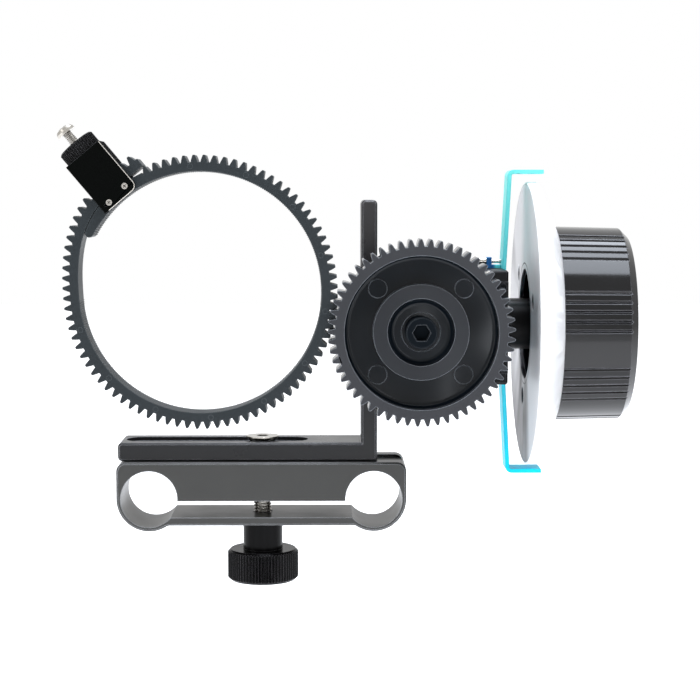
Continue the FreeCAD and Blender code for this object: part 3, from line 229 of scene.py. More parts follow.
def blend(tree, mask, under, over):
    node = addNode(tree, "ShaderNodeMix", {"Factor": mask}, data_type="RGBA")
    for socket, value in ((node.inputs[6], under), (node.inputs[7], over)):
        feed(tree, socket, (*value, 1.0) if isinstance(value, tuple) else value)
    return node.outputs[2]


def linear(*channels):
    # a colour as it reads on screen, 0 to 255, to a shader's values
    def one(value):
        share = value / 255
        return share / 12.92 if share <= 0.04045 else ((share + 0.055) / 1.055) ** 2.4
    return tuple(one(value) for value in channels)


def finish(name, look):
    material = bpy.data.materials.new(name)
    material.use_nodes = True
    tree = material.node_tree
    shader = tree.nodes["Principled BSDF"].inputs
    coords = tree.nodes.new("ShaderNodeTexCoord").outputs["Object"]
    grain = placeGroup(tree, "grain", {"Vector": coords, "Grain Size": look["grain"],
                       "Drift Size": look["drift"]})
    edgeLightShade = placeGroup(tree, "edgeLightShade", {"Vector": coords, "Radius": look["edge"]})
    crease = placeGroup(tree, "creaseShade", {"Reach": look["crease"], "Strength": look["creaseShadeStrength"]})
    dark = tuple(channel * (1 - look["variation"]) for channel in look["colour"])
    light = tuple(min(1.0, channel * (1 + look["variation"])) for channel in look["colour"])
    body = blend(tree, grain["Drift"], dark, light)
    spread = ramp(tree, grain["Drift"], start=0.3, end=0.7,
                  low=look["roughness"] - look["roughnessDrift"],
                  high=look["roughness"] + look["roughnessDrift"])
    # tones along an axis, which paint light or shade as each tone says where it is set
    for drift in look["tones"]:
        tone = placeGroup(tree, "tone", {"Vector": coords, "Axis": drift["axis"],
                          "From": drift["from"], "To": drift["to"]})["Mask"]
        body = blend(tree, tone, body, drift["colour"])
        if "gloss" in drift:
            spread = calc(tree, "SUBTRACT", spread, calc(tree, "MULTIPLY", tone, drift["gloss"]))
    # painted shade in creases and recesses, in each finish's shade colour
    body = blend(tree, crease["Mask"], body, look["creaseShadeColour"])
    # painted highlights along edges, and painted shade along the blue plate's edges
    edgePainted = calc(tree, "MULTIPLY", edgeLightShade["Mask"], look["edgeLightShade"])
    bump = addNode(tree, "ShaderNodeBump", {"Height": grain["Height"], "Strength": look["bump"],
                   "Distance": look["bumpDepth"]}).outputs["Normal"]
    if look["wave"]:
        bump = addNode(tree, "ShaderNodeBump", {"Height": grain["Wave"], "Strength": 1.0,
                       "Distance": look["wave"], "Normal": bump}).outputs["Normal"]
    for label, value in (("Base Color", blend(tree, edgePainted, body, look["edgeLightShadeColour"])),
                         ("Roughness", spread), ("Normal", bump), ("Metallic", look["metallic"]),
                         ("Specular IOR Level", look["specular"])):
        feed(tree, shader[label], value)
    return material


# what a finish has where its own look gives nothing else; lengths are in metres
plainLook = {"colour": (0.03, 0.03, 0.03), "variation": 0.12, "grain": 0.00012, "drift": 0.012,
             "edge": 0.0003, "edgeLightShade": 0.5, "edgeLightShadeColour": (0.25, 0.25, 0.26), "roughness": 0.4,
             "roughnessDrift": 0.04, "bump": 0.25, "bumpDepth": 0.00002, "wave": 0.0,
             "metallic": 0.0, "specular": 0.2, "tones": (), "crease": 0.0006, "creaseShadeStrength": 1.2,
             "creaseShadeColour": (0.001, 0.001, 0.001)}

# tones that come in along an axis, between two places in the frame
# the gear darker the deeper a face sits behind its front, with lower roughness there: painted shade
# in the recessed web, hub and bowl
gearRecessShade = {"axis": (0.0, 1.0, 0.0), "from": -0.0335, "to": -0.0302, "colour": linear(8, 15, 21),
             "gloss": 0.2}
# the blue plate lighter towards its top: painted light
plateLitTop = {"axis": (0.0, 0.0, 1.0), "from": 0.01, "to": 0.08, "colour": linear(124, 246, 242)}
# the bracket's upright leg lighter towards its top: painted light
legLitTop = {"axis": (0.0, 0.0, 1.0), "from": 0.045, "to": 0.09, "colour": linear(66, 64, 64)}
# the plate's bent ear darker blue: painted shade
earShade = {"axis": (-1.0, 0.0, 0.0), "from": -0.0630, "to": -0.0622, "colour": linear(40, 100, 165)}

looks = {
    "black_anodised": {"colour": linear(60, 60, 58), "roughness": 0.34, "specular": 0.26,
                       "edgeLightShadeColour": linear(176, 178, 182), "edgeLightShade": 0.85},
    "grey_anodised": {"colour": linear(31, 31, 32), "roughness": 0.3, "specular": 0.2,
                      "edgeLightShadeColour": linear(170, 170, 174), "edgeLightShade": 0.8,
                      "tones": (legLitTop,)},
    "black_housing": {"colour": linear(10, 10, 12), "roughness": 0.3, "specular": 0.1,
                      "edgeLightShadeColour": linear(110, 110, 114)},
    "black_block": {"colour": linear(12, 13, 12), "roughness": 0.5, "specular": 0.0,
                    "edgeLightShadeColour": linear(120, 120, 122), "edge": 0.0001, "grain": 0.0002,
                    "bump": 0.1},
    "black_nut": {"colour": linear(9, 9, 10), "roughness": 0.24, "specular": 0.06,
                  "edgeLightShadeColour": linear(150, 148, 150), "edgeLightShade": 0.35, "edge": 0.0001,
                  "crease": 0.0003, "creaseShadeStrength": 1.8, "bump": 0.06, "variation": 0.04},
    "black_knob": {"colour": linear(6, 6, 8), "roughness": 0.11, "specular": 0.34,
                   "edgeLightShadeColour": linear(190, 190, 198), "edge": 0.00016,
                   "bump": 0.12, "roughnessDrift": 0.02},
    "silver_plate": {"colour": linear(205, 205, 208), "roughness": 0.42, "specular": 0.1,
                     "edgeLightShade": 0.2, "edgeLightShadeColour": linear(245, 245, 245), "variation": 0.04},
    "white_plastic": {"colour": linear(248, 248, 248), "roughness": 0.35, "edgeLightShade": 0.0,
                      "variation": 0.01, "bump": 0.05},
    "blue_anodised": {"colour": linear(12, 222, 255), "specular": 0.14,
                      "edgeLightShadeColour": linear(60, 190, 220), "variation": 0.04, "edgeLightShade": 0.4,
                      "tones": (plateLitTop, earShade)},
    "nickel_steel": {"colour": linear(172, 168, 161), "roughness": 0.25, "metallic": 1.0,
                     "edgeLightShadeColour": linear(245, 242, 236), "variation": 0.05,
                     "creaseShadeStrength": 1.5, "creaseShadeColour": linear(30, 22, 18), "edge": 0.00012},
    "black_steel": {"colour": linear(22, 26, 30), "roughness": 0.2, "specular": 0.0,
                    "edgeLightShadeColour": linear(120, 124, 128), "edge": 0.0002, "edgeLightShade": 0.7},
    "steel": {"colour": linear(170, 170, 173), "roughness": 0.3, "metallic": 1.0},
    "bronze": {"colour": linear(190, 150, 95), "roughness": 0.45, "metallic": 1.0},
    "gear_plastic": {"colour": linear(54, 55, 58), "roughness": 0.34, "specular": 0.15,
                     "edgeLightShadeColour": linear(160, 166, 172), "edgeLightShade": 0.65, "grain": 0.00025,
                     "edge": 0.00022, "bump": 0.03, "roughnessDrift": 0.02, "creaseShadeStrength": 0.7,
                     "wave": 0.0006, "drift": 0.016,
                     "tones": (gearRecessShade,)},
    "band_plastic": {"colour": linear(52, 56, 58), "roughness": 0.36, "specular": 0.04,
                     "edgeLightShadeColour": linear(110, 115, 117), "edgeLightShade": 0.3, "grain": 0.00025},
}
finishes = {slot: finish(slot + "Finish", {**plainLook, **look}) for slot, look in looks.items()}

# the back plate: turned rings and a groove, with painted reflection sweeps and painted shade on its
# dark side
turnedPlateSheen = {"lineWidth": 0.00018, "sweeps": 1.7, "darkSide": (0.0, 0.5, -0.87),
               "darkShare": 0.27, "darkest": 0.24, "brightest": 0.46, "grooveRadius": 0.0163,
               "grooveWidth": 0.00025, "dark": linear(70, 67, 69), "light": linear(212, 212, 215),
               "groove": linear(50, 50, 52), "metallic": 0.5, "bump": 0.3, "bumpDepth": 0.00002}


def paintTurnedPlateSheen():
    tree = finishes["silver_plate"].node_tree
    shader = tree.nodes["Principled BSDF"].inputs
    low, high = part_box("disc_back_plate")
    coords = tree.nodes.new("ShaderNodeTexCoord").outputs["Object"]
    centred = addNode(tree, "ShaderNodeMapping", {"Vector": coords, "Location": -(low + high) / 2})
    face = placeGroup(tree, "turned", {
        "Vector": centred.outputs["Vector"], "Line Width": turnedPlateSheen["lineWidth"],
        "Sweeps": turnedPlateSheen["sweeps"], "Dark Side": turnedPlateSheen["darkSide"],
        "Dark Share": turnedPlateSheen["darkShare"], "Groove Radius": turnedPlateSheen["grooveRadius"],
        "Groove Width": turnedPlateSheen["grooveWidth"]})
    bump = addNode(tree, "ShaderNodeBump", {"Height": face["Height"],
                   "Strength": turnedPlateSheen["bump"], "Distance": turnedPlateSheen["bumpDepth"]})
    feed(tree, shader["Normal"], bump.outputs["Normal"])
    # painted reflections: the sweeps set the base colour from dark to light and how metallic the
    # plate is
    strong = ramp(tree, face["Sweep"], turnedPlateSheen["darkest"], turnedPlateSheen["brightest"])
    tone = blend(tree, strong, turnedPlateSheen["dark"], turnedPlateSheen["light"])
    feed(tree, shader["Base Color"], blend(tree, face["Groove"], tone, turnedPlateSheen["groove"]))
    feed(tree, shader["Metallic"], calc(tree, "MULTIPLY", strong, turnedPlateSheen["metallic"]))


paintTurnedPlateSheen()
print("materials made:", len(finishes))


def geoTree(name, inputs):
    tree = bpy.data.node_groups.new(name, "GeometryNodeTree")
    tree.is_modifier = True
    tree.interface.new_socket("Geometry", in_out="INPUT", socket_type="NodeSocketGeometry")
    nameInputs(tree, inputs)
    tree.interface.new_socket("Finish", in_out="INPUT", socket_type="NodeSocketMaterial")
    tree.interface.new_socket("Geometry", in_out="OUTPUT", socket_type="NodeSocketGeometry")
    return tree, tree.nodes.new("NodeGroupInput").outputs


def endTree(tree, geometry, coating):
    whole = addNode(tree, "GeometryNodeRealizeInstances", {"Geometry": geometry})
    coated = addNode(tree, "GeometryNodeSetMaterial", {"Geometry": whole.outputs["Geometry"],
                     "Material": coating})
    addNode(tree, "NodeGroupOutput", {"Geometry": coated.outputs["Geometry"]})
    return tree


def makeThreadTree():
    # a screw thread: one ridge that winds up round a core along Z
    tree, size = geoTree("screwThread", {"Core Radius": 0.002, "Depth": 0.0004, "Pitch": 0.0008,
                         "Length": 0.01, "Steps": 24, "Root Share": 0.86, "Crest Share": 0.12})
    turns = calc(tree, "DIVIDE", size["Length"], size["Pitch"])
    path = addNode(tree, "GeometryNodeCurveSpiral", {"Resolution": size["Steps"],
                   "Rotations": turns, "Start Radius": size["Core Radius"],
                   "End Radius": size["Core Radius"], "Height": size["Length"]})
    level = addNode(tree, "GeometryNodeSetCurveNormal", {"Curve": path.outputs["Curve"]},
                    mode="Z_UP")
    root = calc(tree, "MULTIPLY", size["Pitch"], size["Root Share"])
    crest = calc(tree, "MULTIPLY", size["Pitch"], size["Crest Share"])
    ridge = addNode(tree, "GeometryNodeCurvePrimitiveQuadrilateral", {"Bottom Width": root,
                    "Top Width": crest, "Height": size["Depth"], "Offset": 0.0},
                    mode="TRAPEZOID")
    half = calc(tree, "MULTIPLY", size["Depth"], -0.5)
    shift = combine(tree, x=half)  # the sweep's +X points inwards
    laid = addNode(tree, "GeometryNodeTransform", {"Geometry": ridge.outputs["Curve"],
                   "Translation": shift, "Rotation": (0.0, 0.0, math.pi / 2)})
    wound = addNode(tree, "GeometryNodeCurveToMesh", {"Curve": level.outputs["Curve"],
                    "Profile Curve": laid.outputs["Geometry"], "Fill Caps": True})
    return endTree(tree, wound.outputs["Mesh"], size["Finish"])


def makeCrossTree():
    # cuts a cross recess in the head of each screw of the object Screws
    tree, size = geoTree("crossRecess", {"Screws": None, "Arm Length": 0.001, "Arm Width": 0.0002,
                         "Depth": 0.0003, "Axis": (0.0, -1.0, 0.0), "Turn": 0.4})
    deep = calc(tree, "MULTIPLY", size["Depth"], 2.0)
    along = combine(tree, size["Arm Length"], size["Arm Width"], deep)
    across = combine(tree, size["Arm Width"], size["Arm Length"], deep)
    cross = tree.nodes.new("GeometryNodeJoinGeometry")
    for box in (along, across):
        arm = addNode(tree, "GeometryNodeMeshCube", {"Size": box})
        tree.links.new(arm.outputs["Mesh"], cross.inputs["Geometry"])
    turned = addNode(tree, "GeometryNodeTransform", {"Geometry": cross.outputs["Geometry"],
                     "Rotation": combine(tree, z=size["Turn"])})
    aim = addNode(tree, "FunctionNodeAlignRotationToVector", {"Vector": size["Axis"]}, axis="Z")
    placed = addNode(tree, "GeometryNodeInstanceOnPoints", {"Points": size["Geometry"],
                     "Instance": turned.outputs["Geometry"],
                     "Rotation": aim.outputs["Rotation"]})
    cutters = addNode(tree, "GeometryNodeRealizeInstances",
                      {"Geometry": placed.outputs["Instances"]})
    screws = addNode(tree, "GeometryNodeObjectInfo", {"Object": size["Screws"]})
    cut = addNode(tree, "GeometryNodeMeshBoolean", {"Mesh 1": screws.outputs["Geometry"],
                  "Self Intersection": True}, operation="DIFFERENCE", solver="EXACT")
    tree.links.new(cutters.outputs["Geometry"], cut.inputs["Mesh 2"])
    return endTree(tree, cut.outputs["Mesh"], size["Finish"])


def makeArcTree():
    # small raised prisms in a row on an arc about Z: ribs with 3 sides, round marks with more
    tree, size = geoTree("prismsOnArc", {
        "Radius": 0.03, "Count": 12, "Start": 0.0, "Sweep": 6.0, "Sides": 3,
        "Top Radius": 0.0002, "Base Radius": 0.0002, "Prism Length": 0.008})
    line = addNode(tree, "GeometryNodeCurveArc", {"Resolution": size["Count"],
                   "Radius": size["Radius"], "Start Angle": size["Start"],
                   "Sweep Angle": size["Sweep"]}, mode="RADIUS")
    prism = addNode(tree, "GeometryNodeMeshCone", {"Vertices": size["Sides"],
                    "Radius Top": size["Top Radius"], "Radius Bottom": size["Base Radius"],
                    "Depth": size["Prism Length"]})
    down = combine(tree, z=calc(tree, "MULTIPLY", size["Prism Length"], -0.5))
    centred = addNode(tree, "GeometryNodeTransform", {"Geometry": prism.outputs["Mesh"],
                      "Translation": down})
    place = addNode(tree, "GeometryNodeInputPosition")
    inward = addNode(tree, "ShaderNodeVectorMath", {0: place.outputs["Position"],
                     "Scale": -1.0}, operation="SCALE")
    aim = addNode(tree, "FunctionNodeAlignRotationToVector", {"Vector": inward.outputs["Vector"]},
                  axis="X", pivot_axis="Z")
    placed = addNode(tree, "GeometryNodeInstanceOnPoints", {"Points": line.outputs["Curve"],
                     "Instance": centred.outputs["Geometry"],
                     "Rotation": aim.outputs["Rotation"]})
    return endTree(tree, placed.outputs["Instances"], size["Finish"])


def makeRowTree():
    # thin ribs side by side in a straight row along Y, each lying along Z
    tree, size = geoTree("ribRow", {"Count": 20, "Step": 0.0005, "Rib Radius": 0.0002,
                         "Rib Length": 0.008})
    line = addNode(tree, "GeometryNodeMeshLine", {"Count": size["Count"],
                   "Offset": combine(tree, y=size["Step"])}, mode="OFFSET")
    rib = addNode(tree, "GeometryNodeMeshCylinder", {"Vertices": 4, "Radius": size["Rib Radius"],
                  "Depth": size["Rib Length"]})
    placed = addNode(tree, "GeometryNodeInstanceOnPoints", {"Points": line.outputs["Mesh"],
                     "Instance": rib.outputs["Mesh"]})
    return endTree(tree, placed.outputs["Instances"], size["Finish"])


def makeKnobTree():
    # turns the outline of the object Outline about Z and cuts groups of narrow V grooves in its
    # side; each division has a few columns of points, and the last of them is a groove's floor;
    # "carve" says how far a row of the outline goes in with a groove, "slide" how far along
    tree, size = geoTree("groovedKnob", {
        "Outline": None, "Divisions": 64, "Columns": 5, "Group Step": 8, "Group Grooves": 5,
        "Groove Depth": 0.0005, "Turn": 0.0})
    outline = addNode(tree, "GeometryNodeObjectInfo", {"Object": size["Outline"]})
    rows = addNode(tree, "GeometryNodeAttributeDomainSize",
                   {"Geometry": outline.outputs["Geometry"]}).outputs["Point Count"]
    columns = calc(tree, "MULTIPLY_ADD", size["Divisions"], size["Columns"], 1.0)
    grid = addNode(tree, "GeometryNodeMeshGrid", {"Vertices X": columns, "Vertices Y": rows})
    index = tree.nodes.new("GeometryNodeInputIndex").outputs["Index"]
    row = calc(tree, "MODULO", index, rows)
    inside = calc(tree, "ADD", index, 0.25)  # clear of whole numbers, where rounding could slip
    column = calc(tree, "FLOOR", calc(tree, "DIVIDE", inside, rows))
    place = tree.nodes.new("GeometryNodeInputPosition").outputs["Position"]

    def fromOutline(value, kind):
        return addNode(tree, "GeometryNodeSampleIndex", {
            "Geometry": outline.outputs["Geometry"], "Value": value, "Index": row},
            data_type=kind).outputs["Value"]

    def named(label):
        stored = addNode(tree, "GeometryNodeInputNamedAttribute", {"Name": label},
                         data_type="FLOAT")
        return fromOutline(stored.outputs["Attribute"], "FLOAT")

    point = addNode(tree, "ShaderNodeSeparateXYZ", {"Vector": fromOutline(place, "FLOAT_VECTOR")})
    phase = calc(tree, "DIVIDE", column, size["Columns"])
    cell = calc(tree, "FLOOR", phase)
    share = calc(tree, "SUBTRACT", phase, cell)
    deepest = calc(tree, "SUBTRACT", size["Columns"], 1.0)
    off = calc(tree, "ABSOLUTE", calc(
        tree, "SUBTRACT", calc(tree, "MULTIPLY", share, size["Columns"]), deepest))
    wedge = calc(tree, "MAXIMUM", calc(tree, "SUBTRACT", 1.0, off), 0.0)
    grooved = calc(tree, "LESS_THAN", calc(tree, "MODULO", cell, size["Group Step"]),
                   size["Group Grooves"])
    cut = calc(tree, "MULTIPLY", calc(tree, "MULTIPLY", wedge, grooved), size["Groove Depth"])
    radius = calc(tree, "SUBTRACT", point.outputs["X"], calc(tree, "MULTIPLY", cut, named("carve")))
    height = calc(tree, "ADD", point.outputs["Z"], calc(tree, "MULTIPLY", cut, named("slide")))
    angle = calc(tree, "ADD", calc(tree, "MULTIPLY", calc(tree, "DIVIDE", phase,
                 size["Divisions"]), math.tau), size["Turn"])
    x = calc(tree, "MULTIPLY", radius, calc(tree, "COSINE", angle))
    y = calc(tree, "MULTIPLY", radius, calc(tree, "SINE", angle))
    turned = addNode(tree, "GeometryNodeSetPosition", {"Geometry": grid.outputs["Mesh"],
                     "Position": combine(tree, x, y, height)})
    closed = addNode(tree, "GeometryNodeMergeByDistance", {"Geometry": turned.outputs["Geometry"],
                     "Distance": 0.000002})
    return endTree(tree, closed.outputs["Geometry"], size["Finish"])


def makeTrimTree():
    # a thin flat bead that follows a flat polyline and rounds its corners
    tree, size = geoTree("edgeTrim", {"Corner Radius": 0.0016, "Corner Steps": 6,
                         "Bead Width": 0.0002, "Bead Height": 0.0001})
    line = addNode(tree, "GeometryNodeMeshToCurve", {"Mesh": size["Geometry"]})
    bent = addNode(tree, "GeometryNodeFilletCurve", {"Curve": line.outputs["Curve"],
                   "Count": size["Corner Steps"], "Radius": size["Corner Radius"],
                   "Limit Radius": True}, mode="POLY")
    level = addNode(tree, "GeometryNodeSetCurveNormal", {"Curve": bent.outputs["Curve"]},
                    mode="Z_UP")
    bead = addNode(tree, "GeometryNodeCurvePrimitiveQuadrilateral",
                   {"Width": size["Bead Width"], "Height": size["Bead Height"]},
                   mode="RECTANGLE")
    swept = addNode(tree, "GeometryNodeCurveToMesh", {"Curve": level.outputs["Curve"],
                    "Profile Curve": bead.outputs["Curve"], "Fill Caps": True})
    return endTree(tree, swept.outputs["Mesh"], size["Finish"])


trees = {"thread": makeThreadTree(), "cross": makeCrossTree(), "arc": makeArcTree(),
         "row": makeRowTree(), "knob": makeKnobTree(), "trim": makeTrimTree()}
print("geometry trees made:", len(trees))


dressing = {"merge": 0.000002, "flat": 0.3, "sharp": 27.0}


def newObject(name, data):
    thing = bpy.data.objects.new(name, data)
    bpy.context.scene.collection.objects.link(thing)
    return thing


def coat(mesh, slot):
    mesh.materials.clear()
    mesh.materials.append(finishes[slot])


def addPiece(name, mesh, slot, body, replaced=()):
    piece = newObject(name, mesh)
    coat(mesh, slot)
    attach(piece, body)
    if replaced:
        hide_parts(*replaced)
    return piece


def standFor(node, name, mesh):
    # a piece that takes the place of a CAD node
    return addPiece(name, mesh, slotOf[node], bodyOf[node], [node])


def addDetail(node, name, mesh):
    # a piece that is added beside a CAD node
    pointOut(mesh)
    return addPiece(name, mesh, slotOf[node], bodyOf[node])


def smooth(mesh, angle):
    mesh.shade_smooth()
    mesh.set_sharp_from_angle(angle=math.radians(angle))


def evenNormals(piece):
    even = piece.modifiers.new("even", "WEIGHTED_NORMAL")
    even.keep_sharp = True


def easeEdges(piece, width, angle):
    ease = piece.modifiers.new("ease", "BEVEL")
    ease.width = width
    ease.segments = 2
    ease.limit_method = "ANGLE"
    ease.angle_limit = math.radians(angle)
    ease.use_clamp_overlap = False
    ease.harden_normals = True
    evenNormals(piece)


def copyNode(node):
    # a merged copy of a CAD node as an open bmesh
    form = bmesh.new()
    form.from_mesh(nodes[node].data)
    bmesh.ops.remove_doubles(form, verts=form.verts, dist=dressing["merge"])
    bmesh.ops.dissolve_limit(form, angle_limit=math.radians(dressing["flat"]), verts=form.verts,
                             edges=form.edges)
    return form


def toMesh(form, name):
    mesh = bpy.data.meshes.new(name)
    form.to_mesh(mesh)
    form.free()
    if "custom_normal" in mesh.attributes:
        mesh.attributes.remove(mesh.attributes["custom_normal"])
    return mesh


def dressNode(node, name, width):
    mesh = toMesh(copyNode(node), name)
    smooth(mesh, dressing["sharp"])
    piece = standFor(node, name, mesh)
    if width:
        easeEdges(piece, width, dressing["sharp"])
    else:
        evenNormals(piece)


def grow(tree, name, start, slot, values):
    # runs a geometry tree on a scratch object and gives back the plain mesh
    seed = newObject(name + "Seed", start)
    build = seed.modifiers.new("build", "NODES")
    build.node_group = trees[tree]
    wanted = {**values, "Finish": finishes[slot]}
    for item in trees[tree].interface.items_tree:
        if item.in_out == "INPUT" and item.name in wanted:
            build[item.identifier] = wanted[item.name]
    graph = bpy.context.evaluated_depsgraph_get()
    mesh = bpy.data.meshes.new_from_object(seed.evaluated_get(graph), depsgraph=graph)
    mesh.name = name
    seed.modifiers.remove(build)
    bpy.data.objects.remove(seed)
    return mesh


def pointOut(mesh):
    form = bmesh.new()
    form.from_mesh(mesh)
    bmesh.ops.remove_doubles(form, verts=form.verts, dist=dressing["merge"] / 2)
    bmesh.ops.recalc_face_normals(form, faces=form.faces)
    form.to_mesh(mesh)
    form.free()


def axes(right, up, out, place):
    # from a tree's own directions to a place in the frame
    matrix = Matrix.Identity(4)
    for column, direction in enumerate((right, up, out, place)):
        for row in range(3):
            matrix[row][column] = direction[row]
    return matrix


def solidsOf(form):
    # the separate solids of a bmesh as lists of vertices, in the same order each run
    left = set(form.verts)
    found = []
    for start in form.verts:
        if start not in left:
            continue
        left.remove(start)
        queue, piece = [start], [start]
        while queue:
            for edge in queue.pop().link_edges:
                for vert in edge.verts:
                    if vert in left:
                        left.remove(vert)
                        queue.append(vert)
                        piece.append(vert)
        found.append(piece)
    return found


# the name of each node's finished piece and the width of its eased edges, in metres
dressed = {
    "clamp_block": ("clampBody", 0.00008),
    "angle_bracket": ("bracketBody", 0.0001),
    "nut_washer": ("nutWasher", 0.00005),
    "thumb_nut": ("thumbNut", 0.0),
    "gearbox_housing": ("housingBody", 0.0001),
    "gearbox_cover": ("housingCover", 0.00008),
    "lock_washer": ("lockWasher", 0.00005),
    "lock_screw": ("lockScrew", 0.0),
    "wheel_sleeve": ("wheelSleeve", 0.00005),
    "index_plate": ("indexPlate", 0.0001),
    "index_ear_screw": ("earScrew", 0.00008),
    "disc_back_plate": ("discBackPlate", 0.00008),
    "marking_disc": ("markingDisc", 0.0002),
    "hand_knob_screw": ("handKnobScrew", 0.00008),
    "drive_gear": ("driveGear", 0.0001),
    "drive_gear_screw": ("driveGearScrew", 0.00012),
    "lens_gear_band": ("lensGearBand", 0.0001),
    "ring_block": ("ringBlock", 0.00008),
    "ring_block_cover": ("ringBlockCover", 0.0001),
    "ring_lock_nut": ("ringLockNut", 0.0),
}
for node, (name, width) in dressed.items():
    dressNode(node, name, width)
print("nodes dressed:", len(dressed))

wheelAxis = Vector((1.0, 0.0, 0.0))
gearAxis = Vector((0.0, -1.0, 0.0))
upright = Vector((0.0, 0.0, 1.0))
block = {"turn": 130.1, "right": 5.3, "roof": 7.1, "middle": -29.2, "depth": 9.2,
         "screwMiddle": -29.8, "serrations": 22, "serrationSize": 0.15, "serrationInset": 0.25}
ring = {"x": -14.07, "z": 56.48, "inner": 30.35, "front": -33.8, "width": 8.0}
blockUp = Vector((math.cos(math.radians(block["turn"])), 0.0,
                  math.sin(math.radians(block["turn"]))))
blockRight = Vector((blockUp.z, 0.0, -blockUp.x))


def blockPlace(across, height, y):
    flat = blockRight * across + blockUp * height
    return Vector((ring["x"] + flat.x, y, ring["z"] + flat.z)) * mm


cover = {"right": 0.65, "down": 0.6, "fixed": 1.2}
coverSlide = (blockRight * cover["right"] - blockUp * cover["down"]) * mm


def growCover():
    # the cover reaches further to the right and down: its left and upper edges stay
    verts = bpy.data.objects["ringBlockCover"].data.vertices
    left = min(vert.co.dot(blockRight) for vert in verts) + cover["fixed"] * mm
    top = max(vert.co.dot(blockUp) for vert in verts) - cover["fixed"] * mm
    for vert in verts:
        point = vert.co.copy()
        if point.dot(blockRight) > left:
            vert.co += blockRight * cover["right"] * mm
        if point.dot(blockUp) < top:
            vert.co -= blockUp * cover["down"] * mm


growCover()


# screws with a cross recess: sizes in millimetres, the turn in radians
crossScrews = {
    "gearbox_cover_screws": {"name": "coverScrews", "axis": gearAxis, "arm": 1.15, "width": 0.3,
                             "depth": 0.45, "turn": 0.5},
    "ring_cover_screws": {"name": "ringCoverScrews", "axis": gearAxis, "arm": 1.0, "width": 0.26,
                          "depth": 0.35, "turn": 0.9},
    "index_plate_screws": {"name": "indexPlateScrews", "axis": wheelAxis, "arm": 2.2,
                           "width": 0.55, "depth": 0.8, "turn": 0.4},
    "disc_screws": {"name": "discScrews", "axis": -wheelAxis, "arm": 2.8, "width": 0.65,
                    "depth": 0.9, "turn": 0.3},
    "ring_screw": {"name": "ringScrew", "axis": blockUp, "arm": 2.6, "width": 0.62,
                   "depth": 1.0, "turn": 0.15},
}
# threads that are wound on a plain shank, each along an axis from its start, in millimetres
threads = {
    "clamp_screw": {"name": "clampScrew", "start": Vector((0.0, 0.0, 0.0)), "axis": upright,
                    "core": 2.05, "depth": 0.43, "pitch": 0.8, "from": -22.0, "to": 9.6,
                    "shankTo": 14.0, "steps": 26},
    "ring_screw": {"name": "ringScrew", "start": blockPlace(0, 0, block["screwMiddle"]),
                   "axis": blockUp, "core": 1.0, "depth": 0.24, "pitch": 0.45, "from": 35.6,
                   "to": 51.9, "shankTo": 60.0, "steps": 22},
}
threadFit = {"sink": 0.02, "shankShare": 1.28}  # how far a ridge sinks in; the widest plain shank


def cutCrosses(node, form):
    values = crossScrews[node]
    axis = values["axis"]
    heads = []
    for solid in solidsOf(form):
        points = [vert.co for vert in solid]
        top = max(point.dot(axis) for point in points)
        if node in threads:
            middle = threads[node]["start"]
        else:
            low = Vector([min(point[k] for point in points) for k in range(3)])
            high = Vector([max(point[k] for point in points) for k in range(3)])
            middle = (low + high) / 2
        heads.append(middle + axis * (top - middle.dot(axis)))
    marks = bpy.data.meshes.new(values["name"] + "Heads")
    marks.from_pydata(heads, [], [])
    screws = newObject(values["name"] + "Blank", toMesh(form, values["name"] + "Blank"))
    mesh = grow("cross", values["name"], marks, slotOf[node], {
        "Screws": screws, "Arm Length": values["arm"] * mm, "Arm Width": values["width"] * mm,
        "Depth": values["depth"] * mm, "Axis": axis, "Turn": values["turn"]})
    bpy.data.objects.remove(screws)
    return mesh


def pullIn(node, form):
    # brings a plain shank in to the core of its thread
    values = threads[node]
    core = values["core"] * mm
    for vert in form.verts:
        offset = vert.co - values["start"]
        along = offset.dot(values["axis"])
        side = offset - values["axis"] * along
        onShank = core < side.length < core * threadFit["shankShare"]
        if onShank and along < values["shankTo"] * mm:
            vert.co = values["start"] + values["axis"] * along + side * (core / side.length)


def windThread(node):
    values = threads[node]
    axis = values["axis"]
    mesh = grow("thread", node + "Thread", bpy.data.meshes.new(node + "Start"), slotOf[node], {
        "Core Radius": (values["core"] - threadFit["sink"]) * mm,
        "Depth": (values["depth"] + threadFit["sink"]) * mm, "Pitch": values["pitch"] * mm,
        "Length": (values["to"] - values["from"]) * mm, "Steps": values["steps"]})
    pointOut(mesh)
    side = axis.cross(gearAxis).normalized()
    mesh.transform(axes(side, axis.cross(side), axis,
                        values["start"] + axis * values["from"] * mm))
    pointOut(mesh)
    return mesh


def join(meshes, name):
    form = bmesh.new()
    for mesh in meshes:
        form.from_mesh(mesh)
    whole = bpy.data.meshes.new(name)
    form.to_mesh(whole)
    form.free()
    return whole


def makeScrews():
    for node, values in crossScrews.items():
        if node in threads:
            continue
        mesh = cutCrosses(node, copyNode(node))
        if node == "ring_cover_screws":
            mesh.transform(Matrix.Translation(coverSlide))
        smooth(mesh, dressing["sharp"])
        standFor(node, values["name"], mesh)
    for node, values in threads.items():
        form = copyNode(node)
        pullIn(node, form)
        if node in crossScrews:
            blank = cutCrosses(node, form)
        else:
            blank = toMesh(form, values["name"] + "Blank")
        mesh = join([blank, windThread(node)], values["name"])
        smooth(mesh, dressing["sharp"])
        standFor(node, values["name"], mesh)


makeScrews()
print("screws made:", len(crossScrews) + len(threads))


